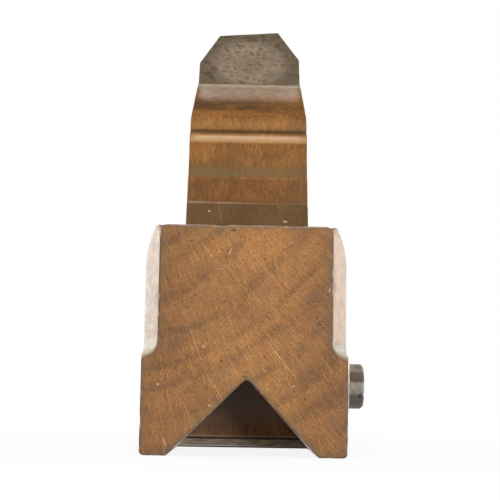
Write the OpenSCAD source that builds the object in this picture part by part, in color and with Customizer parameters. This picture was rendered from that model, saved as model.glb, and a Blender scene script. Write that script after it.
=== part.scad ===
// Chamfer plane: a beech block with a ninety degree groove along its sole, which rides
// on the corner of a board. A skew cut through the block holds, from toe to heel, a
// sliding stop that sets the width of the chamfer, a wedge and a single iron. A screw in
// the right cheek locks the stop.
// X is to the right as the toe is faced, Y runs from toe to heel, Z is up, and the origin
// is the middle of the sole. Sizes are millimetres.

/* [Stock] */
// Length of the block, toe to heel
stock_length = 165; // [140:1:190]
// Width of the block
stock_width = 54; // [50:0.5:66]
// Height of the block
stock_height = 60.3; // [56:0.1:66]
// Radius that eases the long edges of the sole
foot_radius = 1.2; // [0.6:0.1:2]
// Radius that rounds the long top edges
edge_radius = 20; // [16:1:26]
// How far below the top the rounding of the long edges starts
edge_drop = 10.5; // [6:0.5:12]
// Width of the corner chamfers seen from the end
corner_face = 4.2; // [2:0.1:4.6]
// Width of the corner chamfers seen from the side
corner_side = 8; // [5:0.5:12]
// Height at which the corner chamfers stop
corner_stop_height = 30; // [27:0.5:34]
// Radius of the gouge cut that ends each corner chamfer
gouge_radius = 4.1; // [3.8:0.1:6]

/* [Groove in the sole] */
// Width of the groove at the sole
groove_mouth = 39.5; // [39.4:0.1:41]
// Depth of the groove
groove_depth = 19.8; // [18:0.1:22]
// Width of the small flat at the top of the groove
groove_flat = 0.9; // [0.4:0.1:2]
// How far the hand-cut groove leans over at its top, to the right
groove_lean = 0.6; // [-1:0.1:1]

/* [Mortise] */
// Slope of the front of the cut, which the stop slides on
stop_angle = 68; // [66:1:70]
// Slope of the bed, which the iron lies on
iron_angle = 55; // [53:1:56]
// Gap at each flat face that slides
slide_gap = 0.1; // [0.05:0.05:0.2]
// Gap at each side of the iron in the cut, which the width of the cut follows
iron_side_gap = 0.4; // [0.2:0.05:0.6]
// Gap at each side of the wedge in the cut
wedge_side_gap = 0.1; // [0.05:0.05:0.2]
// Gap at each side of the stop in the cut
stop_side_gap = 0.6; // [0.4:0.05:0.8]

/* [Stop] */
// Thickness of the stop, square to its slope
stop_thickness = 9; // [8.5:0.1:10]
// Length of the stop along its front face
stop_length = 81.6; // [72:0.1:86]
// How much lower the stop's top was planed on its right side
stop_top_slant = 0.8; // [0.2:0.1:1.6]
// Radius of the top corners of the stop
stop_corner = 1.3; // [0.8:0.1:2.5]
// Distance from the toe to the lower front edge of the stop
stop_setback = 34; // [30:0.5:36]
// Height of the stop's sole above the feet of the block
stop_rise = 1.3; // [0.8:0.1:2]
// Width of each side rib beside the shaving channel
rib_width = 5; // [4.6:0.1:6]
// Thickness of the wall in front of the shaving channel
channel_wall = 3; // [2.5:0.1:3.4]
// Distance up the stop at which the shaving channel starts
channel_start = 6; // [5.5:0.5:8]
// Length of the ramp that brings the channel to its full depth
channel_ramp = 18; // [12:1:22]
// Distance up the front face over which the wooden stop is cut back above its sole
sole_relief = 0.4; // [0.2:0.1:0.6]

/* [Sole plate of the stop] */
// Thickness of the steel sole
sole_thickness = 2.5; // [2:0.1:3]
// Distance of each sole screw from the middle
sole_screw_reach = 12; // [10:0.5:14]
// Diameter of the sole screws
sole_screw_d = 2.6; // [2.2:0.1:3]
// Diameter of the sole screw heads
sole_screw_head_d = 5; // [4.2:0.1:5.4]
// Length of the sole screws
sole_screw_length = 7; // [6:0.5:8]
// Set-back of the sole screws from the stop's front slope
sole_screw_depth = 5.4; // [5:0.1:5.6]

/* [Wear plate] */
// Thickness of the steel strip that the screw's pad bears on
wear_thickness = 1.2; // [0.8:0.1:1.6]
// Width of the strip
wear_width = 5; // [4.4:0.1:5.4]
// Length of the strip up the side of the stop
wear_length = 27; // [25:0.5:32]
// Diameter of the pins that hold the strip
wear_pin_d = 1.6; // [1.2:0.1:2]
// Length of the pins
wear_pin_length = 4; // [3:0.2:4.4]
// Distance of the lower pin up the strip
wear_pin_low = 10; // [8:0.5:12]
// Distance between the two pins
wear_pin_step = 14; // [10:0.5:15]

/* [Iron] */
// Width of the iron, which the width of the cut follows
iron_width = 38.9; // [38:0.1:39.2]
// Thickness of the iron
iron_thickness = 3.4; // [3:0.1:4]
// Length of the iron at its right side
iron_length = 196; // [180:1:200]
// How much shorter the trimmed left side of the top end is
iron_top_slant = 2.6; // [0:0.1:4]
// Width of the clipped left corner
iron_clip_left = 7.4; // [4:0.1:10]
// Width of the clipped right corner
iron_clip_right = 8.2; // [4:0.1:10]
// Length of the clipped corners
iron_clip_length = 17; // [10:0.5:20]
// Angle of the ground bevel
iron_bevel = 30; // [25:1:35]
// Clear mouth from the stop's sole to the cutting edge
mouth_gap = 1.3; // [0.8:0.1:2]
// Height of the cutting edge above the feet of the block
iron_rise = 0.5; // [0.3:0.1:1]

/* [Wedge] */
// Height of the wedge's lower tip
wedge_tip_height = 13; // [10:0.5:16]
// Thickness of the wedge's lower tip
wedge_tip = 1.2; // [0.8:0.1:2]
// Height at which the wedge reaches its full thickness
wedge_full_height = 28; // [24:0.5:32]
// Height of the sharp edge where the moulding starts
wedge_arris_height = 87.2; // [84:0.2:92]
// Depth of the hollow above that edge
cove_depth = 3.4; // [2.6:0.1:4]
// Height of the hollow
cove_height = 12.3; // [9:0.1:14]
// Depth of the bead above the hollow
bead_depth = 3.4; // [2.6:0.1:4]
// Height of the bead
bead_height = 4.2; // [3:0.1:5]
// Depth of the little groove behind the bead
quirk_depth = 1.1; // [0.6:0.1:1.6]
// How far the nose stands in front of the bottom of that groove
nose_overhang = 0.9; // [0.4:0.1:1.2]
// Height of the upright part of the nose
nose_upright = 0.4; // [0.2:0.1:1.2]
// Depth of the quarter ellipse that rounds the front of the nose
nose_depth = 17; // [12:0.5:20]
// Height of that quarter ellipse
nose_height = 8.3; // [6:0.1:10]
// Slope of the wedge's top
wedge_top_angle = 26; // [23:0.5:29]
// Bulge of the wedge's top
wedge_top_bulge = 0.3; // [0.1:0.1:1.2]

/* [Lock screw] */
// Distance from the stop's lower front edge up to the screw's axis
screw_height = 17.7; // [16:0.1:19]
// Diameter of the screw
screw_d = 6; // [5.6:0.1:6.4]
// Diameter of the screw's head
screw_head_d = 13.2; // [12:0.1:14]
// Thickness of the screw's head
screw_head_thickness = 4.2; // [3.4:0.1:5]
// Width of the slot in the head
screw_slot_width = 1.3; // [1:0.1:1.6]
// Depth of the slot in the head
screw_slot_depth = 1.7; // [1.2:0.1:2]
// Angle of the slot
screw_slot_angle = 27; // [0:1:90]
// Gap between the head and the boss when the stop is locked
head_gap = 0.4; // [0.3:0.1:1]
// Running clearance of the screw in the boss, on the radius
screw_clearance = 0.05; // [0.02:0.01:0.08]
// Diameter of the pressure pad
pad_d = 5; // [4.4:0.1:5.2]
// Thickness of the pressure pad
pad_thickness = 2.4; // [2:0.1:3]
// Diameter of the screw's turned point, which the pad turns on
point_d = 2.6; // [2:0.1:3]
// Length of the turned point
point_length = 1.4; // [1:0.1:1.6]

/* [Screw boss] */
// Diameter of the flange
flange_d = 19.6; // [19.2:0.1:22]
// Thickness of the flange
flange_thickness = 3.5; // [2.6:0.1:4]
// Diameter of the barrel in the cheek
barrel_d = 10; // [9:0.2:11]
// Length of the barrel in the cheek
barrel_length = 5; // [4:0.2:5.6]
// Distance of each fixing screw from the boss's axis
boss_screw_reach = 8.15; // [8.1:0.05:8.4]
// Diameter of the fixing screws
boss_screw_d = 1.4; // [1.2:0.1:1.6]
// Diameter of the fixing screws' heads
boss_screw_head_d = 2.5; // [2.2:0.1:2.6]
// Length of the fixing screws
boss_screw_length = 7.5; // [6:0.5:9]

/* [Hidden] */

$fn = 96;
// How far a cutter runs past the face it cuts
over = 1;
// How far pieces of one solid run into each other
lap = 0.02;
// Clearance of fixed pins and screws in their holes, on the radius
pin_fit = 0.02;
// Number of steps in each curve of the wedge's outline
arc_steps = 12;
// How much steeper than its chord the wedge's bulging top is where it leaves the nose
crest_extra = 3.5;
// Height of the step at the bottom of the little groove behind the bead
quirk_step = 0.3;

beech = "#a06c3c";
dark_beech = "#6f4a2b";
wedge_beech = "#9a5c26";
steel = "#55504a";
bright_steel = "#8a867e";
brass = "#b09a68";

toe_y = -stock_length / 2;
mortise_width = iron_width + 2 * iron_side_gap;
wedge_width = mortise_width - 2 * wedge_side_gap;
stop_width = mortise_width - 2 * stop_side_gap;
edge_inset = edge_radius - sqrt(pow(edge_radius, 2) - pow(edge_drop, 2));

// Lower front edge of the stop, and the cutting edge of the iron
stop_y = toe_y + stop_setback;
stop_z = stop_rise;
iron_y = line_y(stop_y, stop_z, stop_angle, stop_z, stop_thickness) + mouth_gap;
iron_z = iron_rise;

// Y of a slope at height z: the slope starts at (y0, z0) and is moved back by depth,
// which is measured square to it
function line_y(y0, z0, angle, z, depth = 0) =
    y0 + (z - z0) / tan(angle) + depth / sin(angle);
// Point at a distance up a slope and a depth behind it
function slope_point(y0, z0, angle, up, depth) =
    [y0 + up * cos(angle) + depth * sin(angle), z0 + up * sin(angle) - depth * cos(angle)];
function stop_point(up, depth) = slope_point(stop_y, stop_z, stop_angle, up, depth);
function stop_line(z, depth) = [line_y(stop_y, stop_z, stop_angle, z, depth), z];
function iron_line(z, depth) = [line_y(iron_y, iron_z, iron_angle, z, depth), z];
// Points along part of an ellipse
function ellipse_arc(centre, radii, from, to) =
    [for (i = [0 : arc_steps])
        let (a = from + (to - from) * i / arc_steps)
        centre + [radii[0] * cos(a), radii[1] * sin(a)]];

// The rear of the stop's slope carries the wedge, a slide gap behind it
wedge_depth = stop_thickness + slide_gap;
sole_top = stop_z + sole_thickness;
side_x = stop_width / 2;
wear_floor_x = side_x - wear_thickness;
wear_depth = stop_thickness / 2;

// The screw's axis crosses the middle of the stop's side
screw_z = stop_z + screw_height;
screw_y = stop_line(screw_z, stop_thickness / 2)[0];
cheek_x = stock_width / 2;
flange_x = cheek_x + flange_thickness;
head_x = flange_x + head_gap;
pad_x = side_x + slide_gap / 2;
pad_outer_x = pad_x + pad_thickness;
point_tip_x = pad_outer_x - point_length;

// Draws an outline of Y and Z points, and gives it a width along X
module across(width, centre_x = 0) {
    translate([centre_x - width / 2, 0, 0])
        rotate([90, 0, 90]) linear_extrude(width) children();
}

// Cylinder along X from x0 to x1, on the screw's axis moved by (dy, dz)
module along_x(x0, x1, d, dy = 0, dz = 0) {
    translate([x0, screw_y + dy, screw_z + dz])
        rotate([0, 90, 0]) cylinder(d = d, h = x1 - x0);
}

// Everything outside the rounded long top edge on the right
module edge_waste() {
    difference() {
        translate([stock_width / 2 - edge_inset, -stock_length / 2 - over, stock_height - edge_drop])
            cube([edge_inset + over, stock_length + 2 * over, edge_drop + over]);
        translate([stock_width / 2 - edge_radius, 0, stock_height - edge_drop])
            rotate([90, 0, 0])
                cylinder(r = edge_radius, h = stock_length + 4 * over, center = true, $fn = 192);
    }
}

// Everything outside the eased long edge of the sole on the right
module foot_waste() {
    difference() {
        translate([stock_width / 2 - foot_radius, -stock_length / 2 - over, -over])
            cube([foot_radius + over, stock_length + 2 * over, foot_radius + over]);
        translate([stock_width / 2 - foot_radius, 0, foot_radius])
            rotate([90, 0, 0])
                cylinder(r = foot_radius, h = stock_length + 4 * over, center = true);
    }
}

// Corner chamfer at the right of the toe, ended by a gouge cut
module corner_waste() {
    reach = norm([corner_face, corner_side]) + 2 * over;
    translate([stock_width / 2 - corner_face, toe_y, 0])
        rotate([0, 0, atan2(corner_side, corner_face)])
            translate([-over, 0, corner_stop_height]) {
                translate([0, -3 * gouge_radius, 0])
                    cube([reach, 3 * gouge_radius, stock_height]);
                translate([0, -gouge_radius, 0])
                    rotate([0, 90, 0]) cylinder(r = gouge_radius, h = reach);
            }
}

// X of a flank of the groove at height z, side is -1 or 1
function groove_x(side, z) =
    (side * groove_mouth / 2 - groove_lean / 2) * (1 - z / groove_depth)
    + (side * groove_flat / 2 + groove_lean) * z / groove_depth;

module groove_waste() {
    rotate([90, 0, 0])
        linear_extrude(stock_length + 2 * over, center = true)
            polygon([
                [groove_x(-1, -over), -over],
                [groove_x(-1, groove_depth), groove_depth],
                [groove_x(1, groove_depth), groove_depth],
                [groove_x(1, -over), -over]
            ]);
}

// The cut from sole to top, between the slope of the stop and the bed of the iron
module mortise_waste() {
    top = stock_height + over;
    across(mortise_width)
        polygon([
            stop_line(-over, -slide_gap),
            stop_line(top, -slide_gap),
            iron_line(top, iron_thickness + slide_gap),
            iron_line(-over, iron_thickness + slide_gap)
        ]);
}

module stock() {
    color(beech)
        difference() {
            translate([-stock_width / 2, toe_y, 0])
                cube([stock_width, stock_length, stock_height]);
            for (side = [0, 1])
                mirror([side, 0, 0]) {
                    edge_waste();
                    foot_waste();
                    corner_waste();
                    mirror([0, 1, 0]) corner_waste();
                }
            groove_waste();
            mortise_waste();
            // Barrel of the boss, with room for the pad behind it
            along_x(cheek_x - barrel_length - pin_fit, cheek_x + over, barrel_d + 2 * pin_fit);
            along_x(mortise_width / 2 - over, cheek_x, screw_d + 2 * screw_clearance);
            for (side = [-1, 1])
                along_x(flange_x - boss_screw_length - pin_fit, cheek_x + over,
                    boss_screw_d + 2 * pin_fit, side * boss_screw_reach);
        }
}

// Everything above the stop's top, which falls to the right and has rounded corners
module stop_top_waste() {
    depth = stop_thickness + 2 * over;
    translate([0, stop_y, stop_z]) rotate([stop_angle - 90, 0, 0]) {
        translate([-side_x, -over, stop_length])
            rotate([0, atan2(stop_top_slant, stop_width), 0])
                translate([-over, 0, 0]) cube([stop_width + 3 * over, depth, stop_top_slant + over]);
        for (side = [-1, 1]) {
            centre_x = side * (side_x - stop_corner);
            centre_z = stop_length - stop_top_slant * (side_x + centre_x) / stop_width - stop_corner;
            difference() {
                translate([side > 0 ? centre_x : -side_x - over, -over, centre_z])
                    cube([stop_corner + over, depth, stop_corner + over]);
                translate([centre_x, -2 * over, centre_z])
                    rotate([-90, 0, 0]) cylinder(r = stop_corner, h = depth + 2 * over);
            }
        }
    }
}

// Wooden sliding stop: front wall, two ribs and the channel that carries shavings up
module stop_box() {
    channel_full = channel_start + channel_ramp;
    color(dark_beech)
        difference() {
            across(stop_width)
                polygon([
                    stop_line(sole_top, sole_relief),
                    stop_line(sole_top, stop_thickness),
                    stop_point(stop_length, stop_thickness),
                    stop_point(stop_length, 0),
                    stop_line(sole_top + sole_relief, 0)
                ]);
            across(stop_width - 2 * rib_width)
                polygon([
                    stop_point(channel_start, stop_thickness),
                    stop_point(channel_full, channel_wall),
                    stop_point(stop_length + over, channel_wall),
                    stop_point(stop_length + over, stop_thickness + over),
                    stop_point(channel_start, stop_thickness + over)
                ]);
            across(wear_thickness + over, wear_floor_x + (wear_thickness + over) / 2)
                polygon([
                    stop_line(0, wear_depth - wear_width / 2),
                    stop_point(wear_length, wear_depth - wear_width / 2),
                    stop_point(wear_length, wear_depth + wear_width / 2),
                    stop_line(0, wear_depth + wear_width / 2)
                ]);
            stop_top_waste();
            sole_screw_places() cylinder(d = sole_screw_d + 2 * pin_fit, h = sole_screw_length + lap);
            wear_pin_places() wear_pin(pin_fit);
        }
}

// Steel sole under the stop, short of the wear strip at its right end
module stop_sole_plate() {
    plate_width = stop_width - wear_thickness;
    color(bright_steel)
        difference() {
            across(plate_width, -wear_thickness / 2)
                polygon([
                    stop_line(stop_z, 0),
                    stop_line(stop_z, stop_thickness),
                    stop_line(sole_top, stop_thickness),
                    stop_line(sole_top, 0)
                ]);
            sole_screw_places() sole_screw(pin_fit);
        }
}

module sole_screw_places() {
    for (side = [-1, 1])
        translate([side * sole_screw_reach, stop_line(stop_z, sole_screw_depth)[0], stop_z])
            children();
}

// Countersunk screw that points up, with extra on its radius when it is cut from a piece
module sole_screw(extra = 0) {
    head_depth = (sole_screw_head_d - sole_screw_d) / 2;
    cylinder(d1 = sole_screw_head_d + 2 * extra, d2 = sole_screw_d + 2 * extra, h = head_depth);
    cylinder(d = sole_screw_d + 2 * extra, h = sole_screw_length);
}

module stop_sole_screws() {
    slot_width = 0.6;
    slot_depth = 0.6;
    slot_turn = 35;
    color(steel)
        sole_screw_places()
            difference() {
                sole_screw();
                rotate([0, 0, slot_turn])
                    cube([2 * sole_screw_head_d, slot_width, 2 * slot_depth], center = true);
            }
}

// Steel strip let into the right side of the stop
module stop_wear_plate() {
    color(bright_steel)
        difference() {
            across(wear_thickness, wear_floor_x + wear_thickness / 2)
                polygon([
                    stop_line(stop_z, wear_depth - wear_width / 2),
                    stop_point(wear_length, wear_depth - wear_width / 2),
                    stop_point(wear_length, wear_depth + wear_width / 2),
                    stop_line(stop_z, wear_depth + wear_width / 2)
                ]);
            wear_pin_places() wear_pin(pin_fit);
        }
}

module wear_pin_places() {
    for (i = [0, 1]) {
        place = stop_point(wear_pin_low + i * wear_pin_step, wear_depth);
        translate([side_x - wear_pin_length, place[0], place[1]]) children();
    }
}

module wear_pin(extra = 0) {
    rotate([0, 90, 0])
        cylinder(d = wear_pin_d + 2 * extra, h = wear_pin_length + (extra > 0 ? over : 0), $fn = 48);
}

module wear_plate_pins() {
    color(brass) wear_pin_places() wear_pin();
}

// Outline of the wedge, from its lower tip up the front, over the moulding and the nose,
// and down the face of the iron
function wedge_outline() =
    let (
        arris = stop_line(wedge_arris_height, wedge_depth),
        cove_end = arris + [cove_depth, cove_height],
        bead_end = cove_end + [bead_depth, bead_height],
        quirk = bead_end + [quirk_depth, quirk_step],
        nose = quirk + [-nose_overhang, nose_overhang],
        nose_top = nose + [0, nose_upright],
        // The rounded front runs into the bulging top where its slope is the same
        sweep = atan2(nose_height, nose_depth * tan(wedge_top_angle + crest_extra)),
        curve = ellipse_arc(nose_top + [nose_depth, 0], [nose_depth, nose_height], 180, 180 - sweep),
        crest = curve[arc_steps],
        // Length of a straight top slope from the crest to the iron
        reach = (line_y(iron_y, iron_z, iron_angle, crest[1], -slide_gap) - crest[0])
            / (cos(wedge_top_angle) - sin(wedge_top_angle) / tan(iron_angle)),
        along = [cos(wedge_top_angle), sin(wedge_top_angle)],
        out = [-sin(wedge_top_angle), cos(wedge_top_angle)]
    )
    concat(
        [
            iron_line(wedge_tip_height, -slide_gap),
            iron_line(wedge_tip_height, -slide_gap - wedge_tip),
            stop_line(wedge_full_height, wedge_depth)
        ],
        ellipse_arc([arris[0], cove_end[1]], [cove_depth, cove_height], -90, 0),
        ellipse_arc([bead_end[0], cove_end[1]], [bead_depth, bead_height], 180, 90),
        [quirk, nose],
        curve,
        [for (i = [1 : arc_steps])
            let (u = i / arc_steps)
            crest + along * reach * u + out * wedge_top_bulge * 4 * u * (1 - u)]
    );

module wedge() {
    color(wedge_beech) across(wedge_width) polygon(wedge_outline());
}

// Single iron: flat steel with clipped top corners, and a bevel ground on its back
module iron() {
    half = iron_width / 2;
    left_length = iron_length - iron_top_slant;
    back = iron_thickness + over;
    color(steel)
        translate([0, iron_y, iron_z])
            rotate([iron_angle, 0, 0])
                difference() {
                    translate([0, 0, -iron_thickness])
                        linear_extrude(iron_thickness)
                            polygon([
                                [-half, 0],
                                [half, 0],
                                [half, iron_length - iron_clip_length],
                                [half - iron_clip_right, iron_length],
                                [iron_clip_left - half, left_length],
                                [-half, left_length - iron_clip_length]
                            ]);
                    across(iron_width + 2 * over)
                        polygon([
                            [0, 0],
                            [-over, 0],
                            [-over, -back],
                            [back / tan(iron_bevel), -back]
                        ]);
                }
}

// Slotted steel screw with a turned point
module lock_screw() {
    head_bevel = 0.7;
    head_outer_x = head_x + screw_head_thickness;
    color(steel)
        difference() {
            union() {
                along_x(point_tip_x, pad_outer_x + lap, point_d);
                along_x(pad_outer_x, head_x + lap, screw_d);
                along_x(head_x, head_outer_x - head_bevel, screw_head_d);
                translate([head_outer_x - head_bevel, screw_y, screw_z])
                    rotate([0, 90, 0])
                        cylinder(d1 = screw_head_d, d2 = screw_head_d - 2 * head_bevel, h = head_bevel);
            }
            translate([head_outer_x, screw_y, screw_z])
                rotate([screw_slot_angle, 0, 0])
                    cube([2 * screw_slot_depth, 2 * screw_head_d, screw_slot_width], center = true);
        }
}

// Brass pad that turns on the screw's point and bears on the wear strip
module pressure_pad() {
    color(brass)
        difference() {
            along_x(pad_x, pad_outer_x, pad_d);
            along_x(point_tip_x - screw_clearance, pad_outer_x + over, point_d + 2 * screw_clearance);
        }
}

// Flanged boss that the screw is threaded in
module screw_boss() {
    color(brass)
        difference() {
            union() {
                along_x(cheek_x - barrel_length, cheek_x + lap, barrel_d);
                along_x(cheek_x, flange_x, flange_d);
            }
            along_x(cheek_x - barrel_length - over, flange_x + over, screw_d + 2 * screw_clearance);
            boss_screw_places(pin_fit);
        }
}

// Countersunk fixing screws, before and behind the boss's axis
module boss_screw_places(extra = 0) {
    head_depth = (boss_screw_head_d - boss_screw_d) / 2;
    for (side = [-1, 1]) {
        along_x(flange_x - boss_screw_length, flange_x, boss_screw_d + 2 * extra,
            side * boss_screw_reach);
        translate([flange_x - head_depth, screw_y + side * boss_screw_reach, screw_z])
            rotate([0, 90, 0])
                cylinder(d1 = boss_screw_d + 2 * extra, d2 = boss_screw_head_d + 2 * extra,
                    h = head_depth);
    }
}

module boss_screws() {
    color(bright_steel) boss_screw_places();
}

stock();
stop_box();
stop_sole_plate();
stop_sole_screws();
stop_wear_plate();
wear_plate_pins();
wedge();
iron();
lock_screw();
pressure_pad();
screw_boss();
boss_screws();
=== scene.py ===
import math

import bmesh
import bpy
import numpy as np
from mathutils import Matrix


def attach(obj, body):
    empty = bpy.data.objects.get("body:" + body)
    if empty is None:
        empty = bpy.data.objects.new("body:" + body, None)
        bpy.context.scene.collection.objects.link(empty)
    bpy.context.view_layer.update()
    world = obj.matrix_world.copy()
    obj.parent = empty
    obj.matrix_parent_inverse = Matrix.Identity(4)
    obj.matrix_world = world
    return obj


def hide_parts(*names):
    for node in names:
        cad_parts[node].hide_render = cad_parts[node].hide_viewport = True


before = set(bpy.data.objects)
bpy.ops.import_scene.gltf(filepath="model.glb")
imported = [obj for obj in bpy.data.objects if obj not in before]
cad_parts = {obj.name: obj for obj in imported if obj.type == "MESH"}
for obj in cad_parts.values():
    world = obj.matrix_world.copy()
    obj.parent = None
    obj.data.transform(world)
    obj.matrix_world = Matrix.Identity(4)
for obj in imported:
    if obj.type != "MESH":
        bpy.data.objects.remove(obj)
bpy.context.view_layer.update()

bl_info = {
    "name": "Chamfer Plane",
    "version": (1, 0, 0),
    "blender": (4, 5, 0),
    "location": "View3D > Sidebar > Chamfer Plane",
    "description": "Builds an old beech chamfer plane around its packed frame",
    "category": "Object",
}

MM = 0.001

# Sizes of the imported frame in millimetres: X is to the right as the toe is faced, Y runs
# from toe to heel, Z is up from the sole
HALF_WIDTH = 27.0
HALF_LENGTH = 82.5
HEIGHT = 60.3
FOOT_RADIUS = 1.2
EDGE_RADIUS = 20.0
EDGE_DROP = 10.5
CORNER_FACE = 4.2
CORNER_SIDE = 8.0
CORNER_STOP = 30.0
GOUGE_RADIUS = 4.1
MOUTH_LEFT, MOUTH_RIGHT = -20.05, 19.45
APEX_LEFT, APEX_RIGHT, GROOVE_DEPTH = 0.15, 1.05, 19.8
CUT_HALF = 19.85
STOP_ANGLE = math.radians(68)
BED_ANGLE = math.radians(55)
STOP_Y, STOP_Z = -48.5, 1.3
STOP_THICKNESS = 9.0
SLIDE_GAP = 0.1
IRON_THICKNESS = 3.4
IRON_Y, IRON_Z = STOP_Y + STOP_THICKNESS / math.sin(STOP_ANGLE) + 1.3, 0.5
IRON_HALF, IRON_LENGTH, IRON_SLANT = 19.45, 196.0, 2.6
IRON_CLIP_LEFT, IRON_CLIP_RIGHT, IRON_CLIP_LENGTH = 7.4, 8.2, 17.0
IRON_BEVEL = math.radians(30)
SCREW_Z = STOP_Z + 17.7
BARREL_RADIUS, BARREL_X, BORE_RADIUS = 5.02, 21.98, 3.05
WEDGE_HALF = 19.75
WEDGE_TIP, WEDGE_BLUNT, WEDGE_FULL, WEDGE_ARRIS = 13.0, 1.2, 28.0, 87.2
WEDGE_TOP_ANGLE, WEDGE_TOP_BULGE = math.radians(26), 0.3
CREST_EXTRA = math.radians(3.5)
COVE_DEPTH, COVE_HEIGHT = 3.4, 12.3
BEAD_DEPTH, BEAD_HEIGHT = 3.4, 4.2
QUIRK_DEPTH, QUIRK_STEP = 1.1, 0.3
NOSE_OVERHANG, NOSE_UPRIGHT = 0.9, 0.4
NOSE_DEPTH, NOSE_HEIGHT = 17.0, 8.3

# Where the flat of the toe ends, and how steeply the corner chamfer runs from there
INNER = HALF_WIDTH - CORNER_FACE
CORNER_SLANT = math.atan2(CORNER_SIDE, CORNER_FACE)


def slope_y(y0, z0, angle, z, depth=0.0):
    """Y of a slope at height z: y0 + (z - z0) / tan(angle), moved back by depth square to it."""
    return y0 + (z - z0) / math.tan(angle) + depth / math.sin(angle)


def stop_slope(z, depth):
    """Y at height z of the slope that lies a depth behind the stop's front."""
    return slope_y(STOP_Y, STOP_Z, STOP_ANGLE, z, depth)


def bed_slope(z, depth):
    """Y at height z of the slope that lies a depth behind the iron's face."""
    return slope_y(IRON_Y, IRON_Z, BED_ANGLE, z, depth)


def cut_front(z):
    return stop_slope(z, -SLIDE_GAP)


def cut_back(z):
    return bed_slope(z, IRON_THICKNESS + SLIDE_GAP)


SCREW_Y = stop_slope(SCREW_Z, STOP_THICKNESS / 2)


# Settings


def millimetres(label, text, default):
    return bpy.props.FloatProperty(
        name=label, description=text, default=default * MM, min=0.0, max=50.0 * MM,
        subtype="DISTANCE", unit="LENGTH", precision=4,
    )


def colour(label, text, default):
    return bpy.props.FloatVectorProperty(
        name=label, description=text, default=default, size=3, min=0.0, max=1.0, subtype="COLOR",
    )


def plain(label, text, default, high=20.0):
    return bpy.props.FloatProperty(
        name=label, description=text, default=default, min=0.0, max=high, subtype="FACTOR",
    )


class PlaneShape(bpy.types.PropertyGroup):
    block_edge: millimetres("Block edge", "Radius that wear has given the block's edges", 0.5)
    wedge_edge: millimetres("Wedge edge", "Radius of the wedge's side edges", 0.55)
    iron_edge: millimetres("Iron edge", "Radius of the iron's edges", 0.35)
    rim: millimetres("Rim", "Width of the two strips of mesh beside each edge", 0.32)
    wander: plain("Wander", "How much the radius of a worn edge wanders", 0.55, 1.0)
    wedge_taper: millimetres("Wedge taper", "How much narrower the wedge is at its top", 0.5)


class PlaneColours(bpy.types.PropertyGroup):
    beech_light: colour("Beech, light", "Early wood of the block", (0.425, 0.188, 0.046))
    beech_dark: colour("Beech, dark", "Late wood of the block", (0.185, 0.078, 0.022))
    beech_ray: colour("Beech rays", "Rays and fine scratches of the block", (0.68, 0.33, 0.12))
    grime: colour("Grime", "Old wax and dirt on the block", (0.125, 0.092, 0.050))
    stop_light: colour("Stop, light", "Light wood of the stop", (0.42, 0.235, 0.12))
    stop_dark: colour("Stop, dark", "Dark wood of the stop", (0.22, 0.125, 0.07))
    wedge_light: colour("Wedge, light", "Light flecks of the wedge", (0.36, 0.150, 0.043))
    wedge_dark: colour("Wedge, dark", "Dark wood of the wedge", (0.115, 0.056, 0.024))
    iron_colour: colour("Iron", "Browned steel of the iron", (0.168, 0.129, 0.085))
    rust: colour("Rust", "Pinkish rust on the iron", (0.305, 0.208, 0.150))
    steel_colour: colour("Steel", "Bright steel of the screws", (0.22, 0.20, 0.17))


class StageSettings(bpy.types.PropertyGroup):
    side_lamp: plain("Side lamps", "Radiance of the two lamps behind the sides, weaker on the right", 4.0)
    front_lamp: plain("Front lamp", "Radiance of the lamp high in front of the toe", 6.0)
    fill_lamp: plain("Fill lamp", "Radiance of the lamp to the right of the toe", 1.0)
    low_lamp: plain("Low lamp", "Radiance of the small lamp that looks into the groove", 17.0, 30.0)
    rear_lamp: plain("Rear lamp", "Radiance of the lamp high behind the heel", 2.2)
    room: plain("Room", "Level of the room's even light", 0.45, 2.0)
    lens: bpy.props.FloatProperty(
        name="Lens", description="Focal length on a 36 mm wide sensor", default=87.22,
        min=20.0, max=200.0, unit="CAMERA",
    )


# Mesh making


# Points closer than the first become one, and edges shorter than the second are taken out
MERGE_GAP, SHORT_EDGE = 0.004 * MM, 0.002 * MM


def run(*knots_and_steps):
    """Values through knots, written knot, steps, knot, steps, ... knot, with equal steps between
    two knots."""
    knots, steps = knots_and_steps[::2], knots_and_steps[1::2]
    parts = [np.linspace(a, b, n, endpoint=False) for a, b, n in zip(knots[:-1], knots[1:], steps)]
    return np.append(np.concatenate(parts), knots[-1])


def rimmed(a, b, steps, rim):
    """Values from a to b in that many steps (five or more), of which the first two and the last
    two are rim wide."""
    a, b = np.asarray(a, float), np.asarray(b, float)
    inset = rim * np.sign(b - a)
    inner = np.linspace(a + 2 * inset, b - 2 * inset, steps - 3)
    return np.concatenate([a[None], (a + inset)[None], inner, (b - inset)[None], b[None]])


def value_noise(points, size, seed):
    """Smooth noise from -1 to 1: random values at the corners of cubes of that size, blended
    inside each cube."""
    table = np.random.default_rng(seed).uniform(-1, 1, (16, 16, 16))
    q = np.asarray(points) / size
    cell = np.floor(q).astype(int)
    f = q - cell
    f = f * f * (3 - 2 * f)
    total = np.zeros(q.shape[:-1])
    for corner in range(8):
        shift = np.array([corner & 1, corner >> 1 & 1, corner >> 2 & 1])
        i, j, k = np.moveaxis((cell + shift) % 16, -1, 0)
        total += np.prod(np.where(shift, f, 1 - f), axis=-1) * table[i, j, k]
    return total


def step(value, low, high):
    """0 below low, 1 above high and 3t^2 - 2t^3 between."""
    t = np.clip((value - low) / (high - low), 0, 1)
    return t * t * (3 - 2 * t)


def band(value, low, rise, fall, high):
    """0 below low and above high, and 1 between rise and fall."""
    return step(value, low, rise) * (1 - step(value, fall, high))


def grid_of(x, y, z):
    """Stacks X, Y and Z, spread to one shape, into a grid of points."""
    return np.stack(np.broadcast_arrays(*(np.asarray(v, float) for v in (x, y, z))), axis=-1)


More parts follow.
